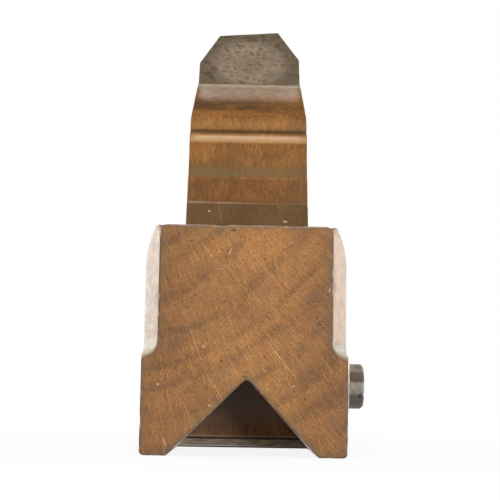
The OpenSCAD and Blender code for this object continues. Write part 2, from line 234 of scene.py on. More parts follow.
def coons(bottom, top, left, right):
    """Coons patch P(u, v) = (1-v)B(u) + vT(u) + (1-u)L(v) + uR(v) - its four corners blended, for
    four edge lines that meet at the corners. Rows follow left and right, columns bottom and top."""
    v = np.linspace(0, 1, len(left))[:, None, None]
    u = np.linspace(0, 1, len(bottom))[None, :, None]
    ruled = (1 - v) * bottom[None] + v * top[None] + (1 - u) * left[:, None] + u * right[:, None]
    low = (1 - u) * bottom[0] + u * bottom[-1]
    high = (1 - u) * top[0] + u * top[-1]
    return ruled - (1 - v) * low - v * high


def all_squares(grid):
    """A mask that keeps every square of a grid."""
    return np.ones((grid.shape[0] - 1, grid.shape[1] - 1), bool)


def ring_of(patch):
    """The outer points of a grid, in order and back to the first."""
    return np.concatenate([patch[0, :-1], patch[:-1, -1], patch[-1, :0:-1], patch[:0:-1, 0], patch[:1, 0]])


def skin(name, grids):
    """One closed mesh from grids of points in millimetres, each alone or with the mask of its
    squares: corners at one place are merged, and the faces are turned outward."""
    points, quads, start = [], [], 0
    for grid in grids:
        grid, keep = grid if isinstance(grid, tuple) else (grid, all_squares(grid))
        number = start + np.arange(grid.shape[0] * grid.shape[1]).reshape(grid.shape[:2])
        corners = [number[:-1, :-1], number[:-1, 1:], number[1:, 1:], number[1:, :-1]]
        quads.append(np.stack(corners, axis=-1)[keep])
        points.append(grid.reshape(-1, 3))
        start += number.size
    mesh = bpy.data.meshes.new(name)
    mesh.from_pydata(np.concatenate(points) * MM, [], np.concatenate(quads))
    made = bmesh.new()
    made.from_mesh(mesh)
    bmesh.ops.delete(made, geom=[v for v in made.verts if not v.link_faces], context="VERTS")
    bmesh.ops.remove_doubles(made, verts=made.verts, dist=MERGE_GAP)
    bmesh.ops.dissolve_degenerate(made, edges=made.edges, dist=SHORT_EDGE)
    bmesh.ops.recalc_face_normals(made, faces=made.faces)
    made.to_mesh(mesh)
    made.free()
    uses = np.bincount(read(mesh.loops, "edge_index", 1, np.int32), minlength=len(mesh.edges))
    if not (uses == 2).all():
        raise RuntimeError(f"{name} isn't closed: {int((uses != 2).sum())} edges don't join two faces")
    return mesh


def read(items, what, width=3, kind=np.float32):
    """One property of a mesh's items as an array."""
    values = np.empty(len(items) * width, kind)
    items.foreach_get(what, values)
    return values.reshape(-1, width) if width > 1 else values


def paint(mesh, name, value):
    """Stores one value for each vertex under a name that the finishes read."""
    mesh.attributes.new(name, "FLOAT", "POINT").data.foreach_set("value", value.astype(np.float32))


def nearest(points, others):
    """Distance from each point to the nearest of the others, worked out 2000 points at a time."""
    square = (others ** 2).sum(1)
    parts = []
    for part in np.array_split(points, 1 + len(points) // 2000):
        parts.append(((part ** 2).sum(1)[:, None] + square - 2 * part @ others.T).min(1))
    return np.sqrt(np.maximum(np.concatenate(parts), 0))


def worn_edges(mesh, radius, wander, seed):
    """Eases the sharp outer edges: a vertex there moves inward by radius * (1 / |m| - 1), where m
    is the mean of the normals that meet at it, which is where a rounding of that radius has its
    middle. Noise makes the radius wander, and a cutting edge stays keen. Keeps the distance to the
    nearest such edge, in millimetres, as the attribute rim."""
    least_angle, keen, deepest = math.radians(22.0), 0.4, 0.6
    normals, centres = read(mesh.polygons, "normal"), read(mesh.polygons, "center")
    face = np.repeat(np.arange(len(mesh.polygons)), read(mesh.polygons, "loop_total", 1, np.int32))
    by_edge = np.argsort(read(mesh.loops, "edge_index", 1, np.int32), kind="stable")
    first, second = face[by_edge].reshape(-1, 2).T
    ends = read(mesh.edges, "vertices", 2, np.int32)
    sharp = (normals[first] * normals[second]).sum(1) < math.cos(least_angle)
    outer = ((centres[second] - centres[first]) * normals[first]).sum(1) < 0
    points = read(mesh.vertices, "co").astype(float)
    mean, hits = np.zeros((len(points), 3)), np.zeros(len(points))
    chosen = sharp & outer
    for k in (0, 1):
        np.add.at(mean, ends[chosen, k], (normals[first] + normals[second])[chosen])
        np.add.at(hits, ends[chosen, k], 2)
    inner = np.zeros(len(points), bool)
    inner[ends[sharp & ~outer].ravel()] = True
    mean /= np.maximum(hits, 1)[:, None]
    length = np.linalg.norm(mean, axis=1)
    move = (hits > 0) & ~inner & (length > keen)
    mean, length, place = mean[move], length[move, None], points[move]
    noise = value_noise(place, 4 * MM, seed) + 0.5 * value_noise(place, 1.3 * MM, seed + 1)
    size = radius * (1 + wander * noise)[:, None]
    distance = nearest(points, points[hits > 0]) / MM
    points[move] -= mean / length * np.minimum((1 / length - 1) * size, deepest * radius)
    mesh.vertices.foreach_set("co", points.astype(np.float32).ravel())
    paint(mesh, "rim", distance)
    mesh.update()


def dent_toe(mesh, places):
    """Presses shallow round dents at the toe: a point at distance d from a dent's centre moves
    inward along its normal by depth * exp(-2 (d / radius)^2). Each place is x, z, radius and depth
    in millimetres."""
    points = read(mesh.vertices, "co").astype(float)
    normals = read(mesh.vertex_normals, "vector").astype(float)
    for x, z, radius, depth in places:
        d = np.linalg.norm(points - np.array([x, -HALF_LENGTH, z]) * MM, axis=1) / (radius * MM)
        points -= normals * (depth * MM * np.exp(-2 * d * d))[:, None]
    mesh.vertices.foreach_set("co", points.astype(np.float32).ravel())
    mesh.update()


def new_object(name, data):
    """A new object in the scene."""
    made = bpy.data.objects.new(name, data)
    bpy.context.scene.collection.objects.link(made)
    return made


def shade_evenly(piece):
    """Shades a piece smoothly, with its large faces kept flat."""
    piece.data.shade_smooth()
    weighted = piece.modifiers.new("Even shading", "WEIGHTED_NORMAL")
    weighted.mode, weighted.weight, weighted.keep_sharp = "FACE_AREA", 80, True


def put(name, mesh, material, body, slot, *nodes):
    """Shows a finished mesh as a piece that rides on its body and stands for its CAD nodes."""
    piece = new_object(name, mesh)
    piece.data.materials.append(material)
    shade_evenly(piece)
    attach(piece, body)
    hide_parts(*nodes)


def dress(node, material, bevel=0.15):
    """Gives a CAD node its finish and a fine bevel on its sharp edges."""
    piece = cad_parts[node]
    piece.data.materials.clear()
    piece.data.materials.append(material)
    weld = piece.modifiers.new("Weld", "WELD")
    weld.merge_threshold = SHORT_EDGE
    flat = piece.modifiers.new("Flat faces", "DECIMATE")
    flat.decimate_type, flat.angle_limit = "DISSOLVE", math.radians(1.0)
    edge = piece.modifiers.new("Edges", "BEVEL")
    edge.limit_method, edge.angle_limit = "ANGLE", math.radians(30.0)
    edge.width, edge.segments, edge.harden_normals = bevel * MM, 2, False
    shade_evenly(piece)


# Finishes


def shade(tone, factor):
    """A colour made darker or lighter by a factor."""
    return tuple(factor * v for v in tone)


class Nodes:
    """Lays out one tree of nodes. Inputs are given by number or name, as values or as sockets."""

    def __init__(self, owner):
        owner.use_nodes = True
        self.tree = owner.node_tree
        self.tree.nodes.clear()

    def set(self, node, key, value):
        if isinstance(value, bpy.types.NodeSocket):
            self.tree.links.new(value, node.inputs[key])
        else:
            node.inputs[key].default_value = value

    def add(self, kind, inputs=None, **settings):
        made = self.tree.nodes.new("ShaderNode" + kind)
        for key, value in settings.items():
            setattr(made, key, value)
        for key, value in (inputs or {}).items():
            self.set(made, key, value)
        return made

    def maths(self, operation, *values):
        return self.add("Math", dict(enumerate(values)), operation=operation).outputs[0]

    def times(self, first, second):
        return self.maths("MULTIPLY", first, second)

    def vector(self, operation, *values):
        return self.add("VectorMath", dict(enumerate(values)), operation=operation).outputs[0]

    def stretch(self, vector, scale):
        return self.vector("MULTIPLY", vector, scale)

    def distance(self, vector, point=(0.0, 0.0, 0.0)):
        return self.add("VectorMath", {0: vector, 1: point}, operation="DISTANCE").outputs["Value"]

    def parts(self, vector):
        return self.add("SeparateXYZ", {0: vector}).outputs

    def fade(self, value, low, high, to_low=0.0, to_high=1.0):
        """0 below low, 1 above high, or as the last two say, with a smooth step between."""
        return self.add("MapRange", {
            "Value": value, "From Min": low, "From Max": high, "To Min": to_low, "To Max": to_high,
        }, interpolation_type="SMOOTHSTEP").outputs[0]


class Finish(Nodes):
    """A material while its colour is laid on in layers. Lengths in its textures are millimetres:
    plane is in the plane's own frame, and place is turned and centred for the grain."""

    SOCKETS = {
        "specular": "Specular IOR Level", "coat": "Coat Weight", "coat_roughness": "Coat Roughness",
        "roughness": "Roughness", "metallic": "Metallic", "normal": "Normal",
    }

    def __init__(self, name, tilt=0.0, centre=(0.0, 0.0, 0.0)):
        self.material = bpy.data.materials.new(name)
        super().__init__(self.material)
        self.shader = self.add("BsdfPrincipled")
        self.add("OutputMaterial", {"Surface": self.shader.outputs[0]})
        self.plane = self.stretch(self.add("TexCoord").outputs["Object"], (1 / MM,) * 3)
        self.place = self.turned(self.plane, (-tilt, 0.0, 0.0), tuple(-c for c in centre))
        self.colour = None

    def turned(self, vector, rotation, location=(0.0, 0.0, 0.0)):
        inputs = {"Vector": vector, "Rotation": rotation, "Location": location}
        return self.add("Mapping", inputs).outputs[0]

    def noise(self, vector, scale=1.0, detail=2.0, roughness=0.5, distortion=0.0, out="Fac"):
        return self.add("TexNoise", {
            "Vector": vector, "Scale": scale, "Detail": detail, "Roughness": roughness,
            "Distortion": distortion,
        }).outputs[out]

    def painted(self, name):
        return self.add("Attribute", attribute_name=name).outputs["Fac"]

    def rim(self, reach):
        """1 at a worn edge, falling to 0 at reach millimetres from it."""
        return self.fade(self.painted("rim"), 0.0, reach, 1.0, 0.0)

    def mix(self, share, first, second, blend="MIX"):
        first, second = (c if isinstance(c, bpy.types.NodeSocket) else (*c, 1.0) for c in (first, second))
        inputs = {0: share, 6: first, 7: second}
        return self.add("Mix", inputs, data_type="RGBA", blend_type=blend).outputs[2]

    def lay(self, tone, share, strength=None, blend="MIX"):
        """Lays a tone over the colour so far, by a share of full cover and its strength."""
        if strength is not None:
            share = self.times(share, strength)
        self.colour = self.mix(share, self.colour, tone, blend)

    def bump(self, height, distance, strength=0.5):
        inputs = {"Height": height, "Distance": distance * MM, "Strength": strength}
        return self.add("Bump", inputs).outputs[0]

    def finish(self, **sockets):
        """Joins the colour and the given values to the shader."""
        for key, value in sockets.items():
            self.set(self.shader, self.SOCKETS[key], value)
        if self.colour is not None:
            self.set(self.shader, "Base Color", self.colour)
        return self.material


def streaks(f, place, along, across, depth, low, high):
    """Streaks of noise, each length in millimetres: along local X, along local Z and along local Y."""
    return f.fade(f.noise(f.stretch(place, (1 / along, 1 / depth, 1 / across)), 1.0, 1.0), low, high)


def wood(f, light, dark, ray, ring=7.4, rings=0.9, fine=0.4, long_rays=0.8, flecks=0.0, mottle=0.7, grit=0.3):
    """Solid beech around a pith line along local Y: rings are bands of equal radius, rays run from
    the pith as thin sheets, and pores and fibres run along the grain. Lays its colour, and returns
    the height of its surface."""
    drift = f.vector("SUBTRACT", f.noise(f.place, 0.03, 1.0, out="Color"), (0.5, 0.5, 0.5))
    place = f.vector("ADD", f.place, f.stretch(drift, (5.0, 5.0, 5.0)))
    x, y, z = f.parts(place)
    radius = f.maths("SQRT", f.maths("ADD", f.times(x, x), f.times(z, z)))
    arc = f.times(f.maths("ARCTAN2", z, x), 80.0)
    polar = f.add("CombineXYZ", {0: radius, 1: y, 2: arc}).outputs[0]

    def grain(across, along, detail, roughness):
        """Noise that changes faster across the grain than along it."""
        return f.noise(f.stretch(place, (across, along, across)), 1.0, detail, roughness)

    # Rings: a slow rise and a quicker fall of the late wood in each
    jitter = f.noise(f.stretch(polar, (0.11, 0.004, 0.012)), 1.0, 2.0)
    turn = f.maths("FRACT", f.maths("ADD", f.maths("DIVIDE", radius, ring), f.times(jitter, 1.5)))
    late = f.times(f.fade(turn, 0.35, 0.80), f.fade(turn, 0.82, 1.0, 1.0, 0.0))
    late = f.times(late, f.fade(grain(0.13, 0.02, 4.0, 0.65), 0.34, 0.60, 0.2, 1.0))
    f.colour = f.mix(f.times(late, rings), light, dark)
    fibre = grain(2.2, 0.06, 3.0, 0.6)
    speck = grain(2.6, 0.30, 3.0, 0.75)
    f.lay(dark, f.fade(grain(0.07, 0.015, 5.0, 0.68), 0.42, 0.66, 0.0, 0.6))
    f.lay(dark, f.fade(grain(1.0, 0.12, 5.0, 0.8), 0.48, 0.70, 0.0, mottle))
    f.lay(dark, f.fade(fibre, 0.30, 0.66, 0.35, 0.0))
    f.lay(ray, streaks(f, polar, 4.5, 0.26, 2.0, 0.54, 0.72), fine)
    f.lay(dark, streaks(f, polar, 3.5, 0.30, 2.0, 0.54, 0.74), 0.5)
    f.lay(ray, streaks(f, polar, 26.0, 0.26, 3.0, 0.70, 0.75), long_rays)
    if flecks:
        f.lay(ray, streaks(f, polar, 30.0, 0.6, 4.2, 0.50, 0.72), flecks)
        f.lay(dark, streaks(f, polar, 20.0, 0.6, 3.4, 0.54, 0.72), flecks)
    # Dirt sits in the open pores of the late wood
    sooty = f.fade(grain(1.5, 0.2, 4.0, 0.75), 0.50, 0.62, 0.0, 0.75)
    f.lay((0.105, 0.080, 0.048), f.times(late, sooty), rings)
    f.lay(shade(dark, 0.45), f.fade(speck, 0.55, 0.70, 0.0, 0.75))
    f.lay(ray, f.fade(speck, 0.28, 0.44, 0.45, 0.0))
    level = f.fade(grain(3.4, 0.4, 2.0, 0.7), 0.30, 0.54, 1.0 - 1.25 * grit, 1.0 + 0.3 * grit)
    f.lay(f.add("CombineColor", {0: level, 1: level, 2: level}).outputs[0], 1.0, blend="MULTIPLY")
    return f.maths("SUBTRACT", fibre, f.fade(speck, 0.55, 0.70, 0.0, 0.8))


def scratches(f, tone, angle, strength):
    """Thin straight scratches across the wood, at an angle in degrees to local X."""
    turned = f.turned(f.place, (0.0, math.radians(angle), 0.0))
    f.lay(tone, streaks(f, turned, 24.0, 0.17, 6.0, 0.715, 0.745), strength)


def marks(f, tone, strength, places):
    """Single marks seen from the toe: X, Z, half length, half width and angle in degrees of each."""
    ragged = f.times(f.noise(f.plane, 1.6, 2.0), 0.9)
    flat = f.stretch(f.plane, (1.0, 0.0, 1.0))
    total = 0.0
    for x, z, length, width, angle in places:
        local = f.add("Mapping", {
            "Vector": flat, "Location": (x, 0.0, z), "Rotation": (0.0, -math.radians(angle), 0.0),
            "Scale": (length, 1.0, width),
        }, vector_type="TEXTURE").outputs[0]
        inside = f.fade(f.maths("ADD", f.distance(local), ragged), 1.0, 1.6, 1.0, 0.0)
        total = f.maths("MAXIMUM", total, inside)
    f.lay(tone, total, strength)


def handling(f, grime):
    """Old wax and dirt in clouds and towards the edges, and small irregular pits, whose share is
    returned."""
    smear = f.noise(f.place, 0.16, 4.0, 0.62)
    near_edge = f.times(f.rim(3.0), f.fade(smear, 0.3, 0.7, 0.05, 0.6))
    f.lay(grime, f.maths("MAXIMUM", f.fade(smear, 0.46, 0.78, 0.0, 0.5), near_edge))
    pit = f.fade(f.noise(f.stretch(f.place, (0.75, 0.75, 0.75)), 1.0, 2.0, 0.6, 0.6), 0.695, 0.73)
    f.lay(shade(grime, 0.4), pit, 0.75)
    return pit


def block_finish(c):
    f = Finish("Beech block", centre=(-40.0, 0.0, 97.0))
    height = wood(f, c.beech_light, c.beech_dark, c.beech_ray, rings=0.65, long_rays=0.9, grit=0.45)
    scratches(f, (0.66, 0.31, 0.10), -56.0, 0.8)
    scratches(f, (0.62, 0.29, 0.10), -78.0, 0.7)
    scratches(f, (0.55, 0.27, 0.10), 33.0, 0.3)
    x, y, z = f.parts(f.plane)
    # A painted pool of light: the toe is lightest at its middle and darker towards its corners
    from_middle = f.stretch(f.vector("SUBTRACT", f.plane, (1.5, -HALF_LENGTH, 35.0)), (1.3, 1.0, 0.66))
    f.lay((0.70, 0.68, 0.70), f.fade(f.distance(from_middle), 8.0, 36.0), blend="MULTIPLY")
    # A dull band crosses the middle of the toe
    beside = f.maths("ABSOLUTE", f.maths("SUBTRACT", z, 40.0))
    at_toe = f.fade(y, 0.4 - HALF_LENGTH, 3.0 - HALF_LENGTH, 1.0, 0.0)
    f.lay((0.82, 0.81, 0.88), f.fade(beside, 4.0, 14.0, 0.7, 0.0), at_toe, "MULTIPLY")
    pit = handling(f, c.grime)
    marks(f, (0.07, 0.045, 0.03), 0.75, TOE_DARK_MARKS)
    marks(f, (0.70, 0.52, 0.36), 0.6, TOE_PALE_MARKS)
    # Edges: dirt beside them, a dark line along them, and in places pale wear that is also a painted
    # highlight
    patchy = f.fade(f.noise(f.place, 0.3, 4.0, 0.65), 0.36, 0.66, 0.0, 0.7)
    f.lay(c.grime, f.rim(1.3), patchy)
    f.lay((0.11, 0.045, 0.025), f.rim(0.6), 0.75)
    # Pale wear along the edges, which also paints their highlight
    worn = f.times(f.rim(0.3), f.fade(f.noise(f.place, 0.5, 3.0, 0.6), 0.48, 0.62))
    f.lay((0.70, 0.50, 0.36), worn, 0.6)
    # The corner chamfers are painted lighter, as cleaner wood and as a painted sheen, with smudges, and the
    # gouge cuts are unfinished and matt
    chamfered, gouged = f.painted("chamfered"), f.painted("gouged")
    f.lay((0.72, 0.45, 0.18), chamfered, 0.27)
    smudge = f.fade(f.noise(f.stretch(f.place, (1.2, 1.2, 0.3)), 1.0, 4.0, 0.7), 0.48, 0.66, 0.0, 0.5)
    f.lay((0.20, 0.15, 0.11), chamfered, smudge)
    # Painted light: the grey of the unfinished gouge cuts is lighter on the left than on the right
    bare_with_painted_light = f.mix(f.fade(x, -1.0, 1.0), (0.50, 0.43, 0.325), (0.35, 0.315, 0.245))
    f.lay(bare_with_painted_light, gouged, 0.85)
    return f.finish(
        roughness=f.fade(f.noise(f.place, 0.5, 3.0), 0.3, 0.7, 0.36, 0.52), specular=0.3,
        coat=f.fade(gouged, 0.0, 1.0, 0.36, 0.04), coat_roughness=0.16,
        normal=f.bump(f.maths("SUBTRACT", height, f.times(pit, 2.0)), 0.04),
    )


def stop_finish(c):
    f = Finish("Dark beech stop", tilt=STOP_ANGLE, centre=(-30.0, 0.0, -30.0))
    height = wood(f, c.stop_light, c.stop_dark, shade(c.stop_light, 1.3), long_rays=0.2)
    f.lay((0.07, 0.052, 0.04), f.fade(f.noise(f.place, 0.3, 4.0, 0.65), 0.45, 0.75, 0.0, 0.5))
    z = f.parts(f.plane)[2]
    # Painted light in the groove, where the stop is greyer and lighter, dark wax above the block, a pale line
    # just above the seam, and a painted highlight along the top
    f.lay((0.27, 0.24, 0.20), f.times(f.fade(z, 5.0, 13.0), f.fade(z, 22.0, 40.0, 1.0, 0.0)), 0.8)
    f.lay((0.093, 0.050, 0.015), f.fade(z, 20.0, 60.0, 0.0, 0.8))
    f.lay((0.60, 0.44, 0.29), f.fade(z, 4.2, 4.5, 0.6, 0.0))
    patchy = f.fade(f.noise(f.place, 0.6, 3.0), 0.3, 0.6, 0.1, 0.5)
    # Painted highlight along the stop's top edge
    f.lay((0.50, 0.36, 0.22), f.fade(z, 76.0, 76.6), patchy)
    marks(f, (0.36, 0.15, 0.045), 0.35, ((-8.5, 73.0, 4.5, 0.25, -78.0),))
    marks(f, (0.55, 0.47, 0.36), 0.75, ((-12.0, 73.6, 0.4, 0.35, 0.0), (12.1, 70.4, 0.8, 0.35, 0.0)))
    rough = f.fade(f.noise(f.place, 0.5, 3.0), 0.3, 0.7, 0.45, 0.62)
    return f.finish(roughness=rough, specular=0.05, normal=f.bump(height, 0.04))


def wedge_finish(c):
    f = Finish("Polished beech wedge", tilt=math.radians(62), centre=(0.0, 0.0, -52.0))
    height = wood(
        f, c.wedge_light, c.wedge_dark, shade(c.wedge_light, 1.2),
        ring=7.0, rings=0.3, fine=0.15, long_rays=0.0, flecks=0.55, mottle=0.25, grit=0.05,
    )
    f.lay(c.wedge_dark, f.fade(f.noise(f.place, 0.12, 4.0, 0.6), 0.42, 0.72, 0.0, 0.5))
    # Painted shade on the flat below the hollow
    f.lay((0.142, 0.073, 0.042), f.painted("painted_shade_below_hollow"), 0.4)
    # Pale wear along the edges, which also paints their highlight
    f.lay((0.5, 0.31, 0.16), f.times(f.rim(0.6), f.fade(f.noise(f.place, 0.6, 2.0), 0.3, 0.6)), 0.2)
    # Pale wear and a painted highlight on the bead and the nose's lip, and painted light in the hollow
    f.lay((0.55, 0.33, 0.135), f.painted("rubbed_and_painted_light"), 0.6)
    # A darker band across the nose, weaker towards the right
    darker_nose_patches = f.fade(f.noise(f.place, 0.25, 3.0), 0.3, 0.6, 0.4, 0.9)
    f.lay((0.09, 0.05, 0.024), f.painted("darker_nose_band"), darker_nose_patches)
    # Dirt at the held corner, painted shade in the quirk, and a painted grey sheen at the hollow's foot and
    # on the nose's top
    dust_shade_and_sheen_patches = f.fade(f.noise(f.place, 0.4, 3.0), 0.3, 0.6, 0.4, 0.85)
    f.lay((0.165, 0.113, 0.053), f.painted("dust_shade_and_sheen"), dust_shade_and_sheen_patches)
    # Painted highlight: a pale band along the wedge's top at the iron
    pale = f.fade(f.noise(f.stretch(f.place, (0.2, 0.5, 0.5)), 1.0, 4.0, 0.65), 0.36, 0.62, 0.3, 0.85)
    f.lay((0.46, 0.39, 0.29), f.painted("crest"), pale)
    polish = f.times(f.painted("polish"), f.maths("SUBTRACT", 1.0, f.rim(4.0)))
    return f.finish(
        roughness=f.fade(f.noise(f.place, 0.4, 3.0), 0.3, 0.7, 0.34, 0.5),
        specular=f.fade(polish, 0.0, 1.0, 0.0, 0.35), coat=f.times(polish, 0.17), coat_roughness=0.32,
        normal=f.bump(height, 0.03),
    )


def iron_finish(c):
    f = Finish("Browned iron", tilt=BED_ANGLE)
    fine = f.noise(f.place, 1.1, 5.0, 0.7)
    bloom = f.noise(f.place, 0.3, 4.0, 0.6)
    f.colour = f.mix(f.fade(fine, 0.30, 0.70), shade(c.iron_colour, 0.55), shade(c.iron_colour, 1.2))
    # Pink rust blooms in a soft round patch on the face near the top, and the corners stay dark
    away = f.distance(f.place, (0.0, 155.0, 31.0))
    patch = f.times(f.fade(away, 9.0, 17.0, 1.0, 0.1), f.fade(away, 0.0, 10.0, 0.4, 1.0))
    patch = f.times(patch, f.fade(f.parts(f.place)[2], 29.6, 30.6))
    f.lay(c.rust, f.fade(bloom, 0.38, 0.60, 0.0, 0.95), patch)
    f.lay((0.062, 0.047, 0.028), f.fade(f.noise(f.place, 0.3, 3.0, 0.6), 0.50, 0.64, 0.0, 0.75))
    f.lay((0.68, 0.66, 0.60), f.fade(away, 11.0, 18.0), blend="MULTIPLY")
    f.lay((0.27, 0.24, 0.2), f.rim(0.5), 0.3)
    rough = f.fade(fine, 0.3, 0.7, 0.5, 0.7)
    return f.finish(metallic=0.35, specular=0.12, roughness=rough, normal=f.bump(fine, 0.08, 0.7))


def steel(name, metal):
    """Starts a worn steel: the fine noise of its scratches gives its roughness and its bump."""
    f = Finish(name)
    fine = f.noise(f.place, 2.4, 3.0, 0.6)
    f.finish(metallic=metal, roughness=f.fade(fine, 0.3, 0.7, 0.30, 0.46), normal=f.bump(fine, 0.03))
    return f, fine


def mottled_steel(c, name, tone=1.0, metal=0.75):
    """Worn steel with soft mottling, and brown stains in its fine scratches."""
    f, fine = steel(name, metal)
    mottle = f.fade(f.noise(f.place, 0.35, 4.0, 0.55), 0.34, 0.66)
    f.colour = f.mix(mottle, shade(c.steel_colour, 0.6 * tone), shade(c.steel_colour, 1.4 * tone))
    stain = f.fade(f.noise(f.place, 0.6, 4.0, 0.6), 0.50, 0.64, 0.0, 0.5)
    f.lay(shade((0.27, 0.20, 0.15), tone), stain)
    f.lay((0.13, 0.105, 0.08), f.fade(fine, 0.50, 0.74, 0.0, 0.3))
    f.finish()
    return f


def sole_finish():
    """Streaked steel, with a painted shadow along the seam under the wood and a bright lower arris."""
    f, _ = steel("Sole steel", 0.15)
    streak = f.noise(f.stretch(f.plane, (0.22, 1.0, 2.4)), 1.0, 4.0, 0.65)
    z = f.parts(f.plane)[2]
    f.colour = f.mix(f.fade(streak, 0.36, 0.66), (0.27, 0.235, 0.19), (0.60, 0.52, 0.40))
    # Painted shadow along the seam under the wood
    f.lay((0.05, 0.04, 0.03), f.fade(z, 3.1, 3.5))
    f.lay((0.90, 0.86, 0.76), f.fade(z, 1.5, 1.8, 0.6, 0.0))
    return f.finish()


def screw_finish(c):
    """The lock screw's steel, with painted reflections on its round head: dark brown above its middle and
    near-black below it.
    """
    f = mottled_steel(c, "Screw steel", 1.3, 0.45)
    up = f.maths("SUBTRACT", f.parts(f.plane)[2], SCREW_Z)
    ragged = f.maths("ADD", up, f.times(f.noise(f.place, 0.5, 3.0), 1.2))
    painted_reflection_band = f.times(f.fade(ragged, 1.2, 2.2), f.fade(ragged, 4.4, 5.0, 1.0, 0.55))
    f.lay((0.11, 0.085, 0.06), painted_reflection_band, 0.8)
    # Painted reflection: near-black below the middle of the head
    f.lay((0.075, 0.07, 0.06), f.fade(ragged, -2.2, -1.0, 0.9, 0.0))
    return f.finish(roughness=f.fade(painted_reflection_band, 0.0, 1.0, 0.5, 0.85))


def brass_finish():
    f = Finish("Old brass")
    tarnish = f.noise(f.place, 0.4, 4.0, 0.6)
    fine = f.noise(f.place, 2.2, 3.0, 0.6)
    f.colour = f.mix(f.fade(tarnish, 0.35, 0.68), (0.80, 0.70, 0.57), (0.55, 0.44, 0.31))
    f.lay((0.19, 0.14, 0.09), f.fade(fine, 0.52, 0.8, 0.0, 0.4))
    rough = f.fade(fine, 0.3, 0.7, 0.28, 0.5)
    return f.finish(metallic=0.7, roughness=rough, normal=f.bump(fine, 0.03, 0.4))


# The block


# Knocks on the toe's edges: X, Z, radius and depth
TOE_KNOCKS = (
    (-6.9, 60.3, 1.1, 0.55), (-5.2, 60.3, 0.7, 0.4), (9.0, 60.3, 0.9, 0.3), (22.6, 60.0, 1.5, 0.6),
    (-22.6, 60.0, 1.2, 0.5), (-22.8, 41.0, 0.9, 0.5), (-22.8, 37.6, 0.7, 0.45), (22.8, 44.0, 0.8, 0.35),
    (-26.9, 9.0, 1.0, 0.3), (-14.6, 5.4, 0.8, 0.3), (-17.6, 2.4, 0.9, 0.35), (5.2, 15.6, 0.8, 0.3),
    (26.9, 2.0, 1.1, 0.4),
)
# Marks on the toe: X, Z, half length, half width and angle in degrees
TOE_DARK_MARKS = (
    (11.0, 54.5, 2.8, 0.16, 31.0), (5.0, 51.4, 0.6, 0.35, 20.0), (-14.6, 56.0, 0.6, 0.3, 0.0),
    (-11.5, 46.5, 1.0, 0.2, 55.0), (-13.3, 41.7, 0.5, 0.35, 30.0), (5.9, 36.1, 1.1, 0.3, -38.0),
    (1.8, 36.0, 0.5, 0.2, 80.0), (0.0, 20.6, 0.9, 0.16, 0.0), (5.2, 15.1, 0.5, 0.35, 40.0),
    (-25.4, 12.0, 0.4, 0.5, 0.0), (15.8, 15.0, 0.5, 0.3, 50.0), (-3.6, 58.9, 0.9, 0.45, 0.0),
)
TOE_PALE_MARKS = (
    (-4.3, 53.2, 1.1, 0.16, 72.0), (-10.8, 28.2, 0.35, 0.3, 0.0), (-22.4, 18.3, 0.35, 0.35, 0.0),
    (21.9, 43.5, 0.9, 0.15, 80.0), (-9.1, 13.0, 0.3, 0.3, 0.0), (12.7, 18.3, 0.7, 0.14, 30.0),
    (-9.2, 52.0, 0.3, 0.2, 0.0), (-20.3, 3.4, 1.3, 0.16, -70.0),
)
# The square of mesh round the bore of the lock screw, on the block's side and on the cut's wall,
# where its front and back are counted from the front of the cut
HOLE_LOW, HOLE_HIGH, HOLE_FRONT, HOLE_BACK = 13.0, 25.0, -42.5, -30.5
WALL_LOW, WALL_HIGH, WALL_FRONT, WALL_BACK = 14.0, 24.0, 0.9, 8.7
# Steps of mesh up the outer profile, and the numbers of the rows where its parts begin
FOOT_STEPS, TURN_STEPS, LOW_STEPS, HOLE_STEPS = 6, 4, 6, 8
GOUGE_STEPS, SIDE_STEPS, SWEEP_STEPS = 6, 14, 11
HOLE_ROW = FOOT_STEPS + TURN_STEPS + LOW_STEPS
GOUGE_ROW = HOLE_ROW + HOLE_STEPS + 1
STOP_ROW = GOUGE_ROW + GOUGE_STEPS
CREST_ROW = STOP_ROW + SIDE_STEPS + SWEEP_STEPS
# Steps of mesh from the toe to the cut, from the bore to the cut's back, from there to the heel,
# and up the cut's walls below and above the bore
TOE_STEPS, BEHIND_STEPS, HEEL_STEPS = 24, 5, 48
WALL_STEPS, WALL_TOP_STEPS = 10, 20
BORE_COLUMN = TOE_STEPS + 1
# Shares of the way across a corner chamfer
CHAMFER_SHARES = np.array([0.0, 0.045, 0.25, 0.5, 0.75, 0.955, 1.0])


def groove_top(x):
    """Height of the groove above the sole at x: two straight flanks and a narrow flat."""
    corners = [MOUTH_LEFT, APEX_LEFT, APEX_RIGHT, MOUTH_RIGHT]
    return np.interp(x, corners, [0.0, GROOVE_DEPTH, GROOVE_DEPTH, 0.0])


def block_columns(rim):
    """X of the lines that run from toe to heel along the sole, with strips beside its corners."""
    return np.concatenate([
        [-INNER, -INNER + rim], run(-INNER + 2 * rim, 3, MOUTH_LEFT - rim),
        [MOUTH_LEFT, -CUT_HALF, -CUT_HALF + rim], run(-18.8, 1, -18.2, 17, APEX_LEFT),
        run(APEX_RIGHT, 17, 17.8, 1, 18.4), [MOUTH_RIGHT - rim, MOUTH_RIGHT, CUT_HALF, CUT_HALF + rim],
        run(21.0, 2, INNER - 2 * rim), [INNER - rim, INNER],
    ])


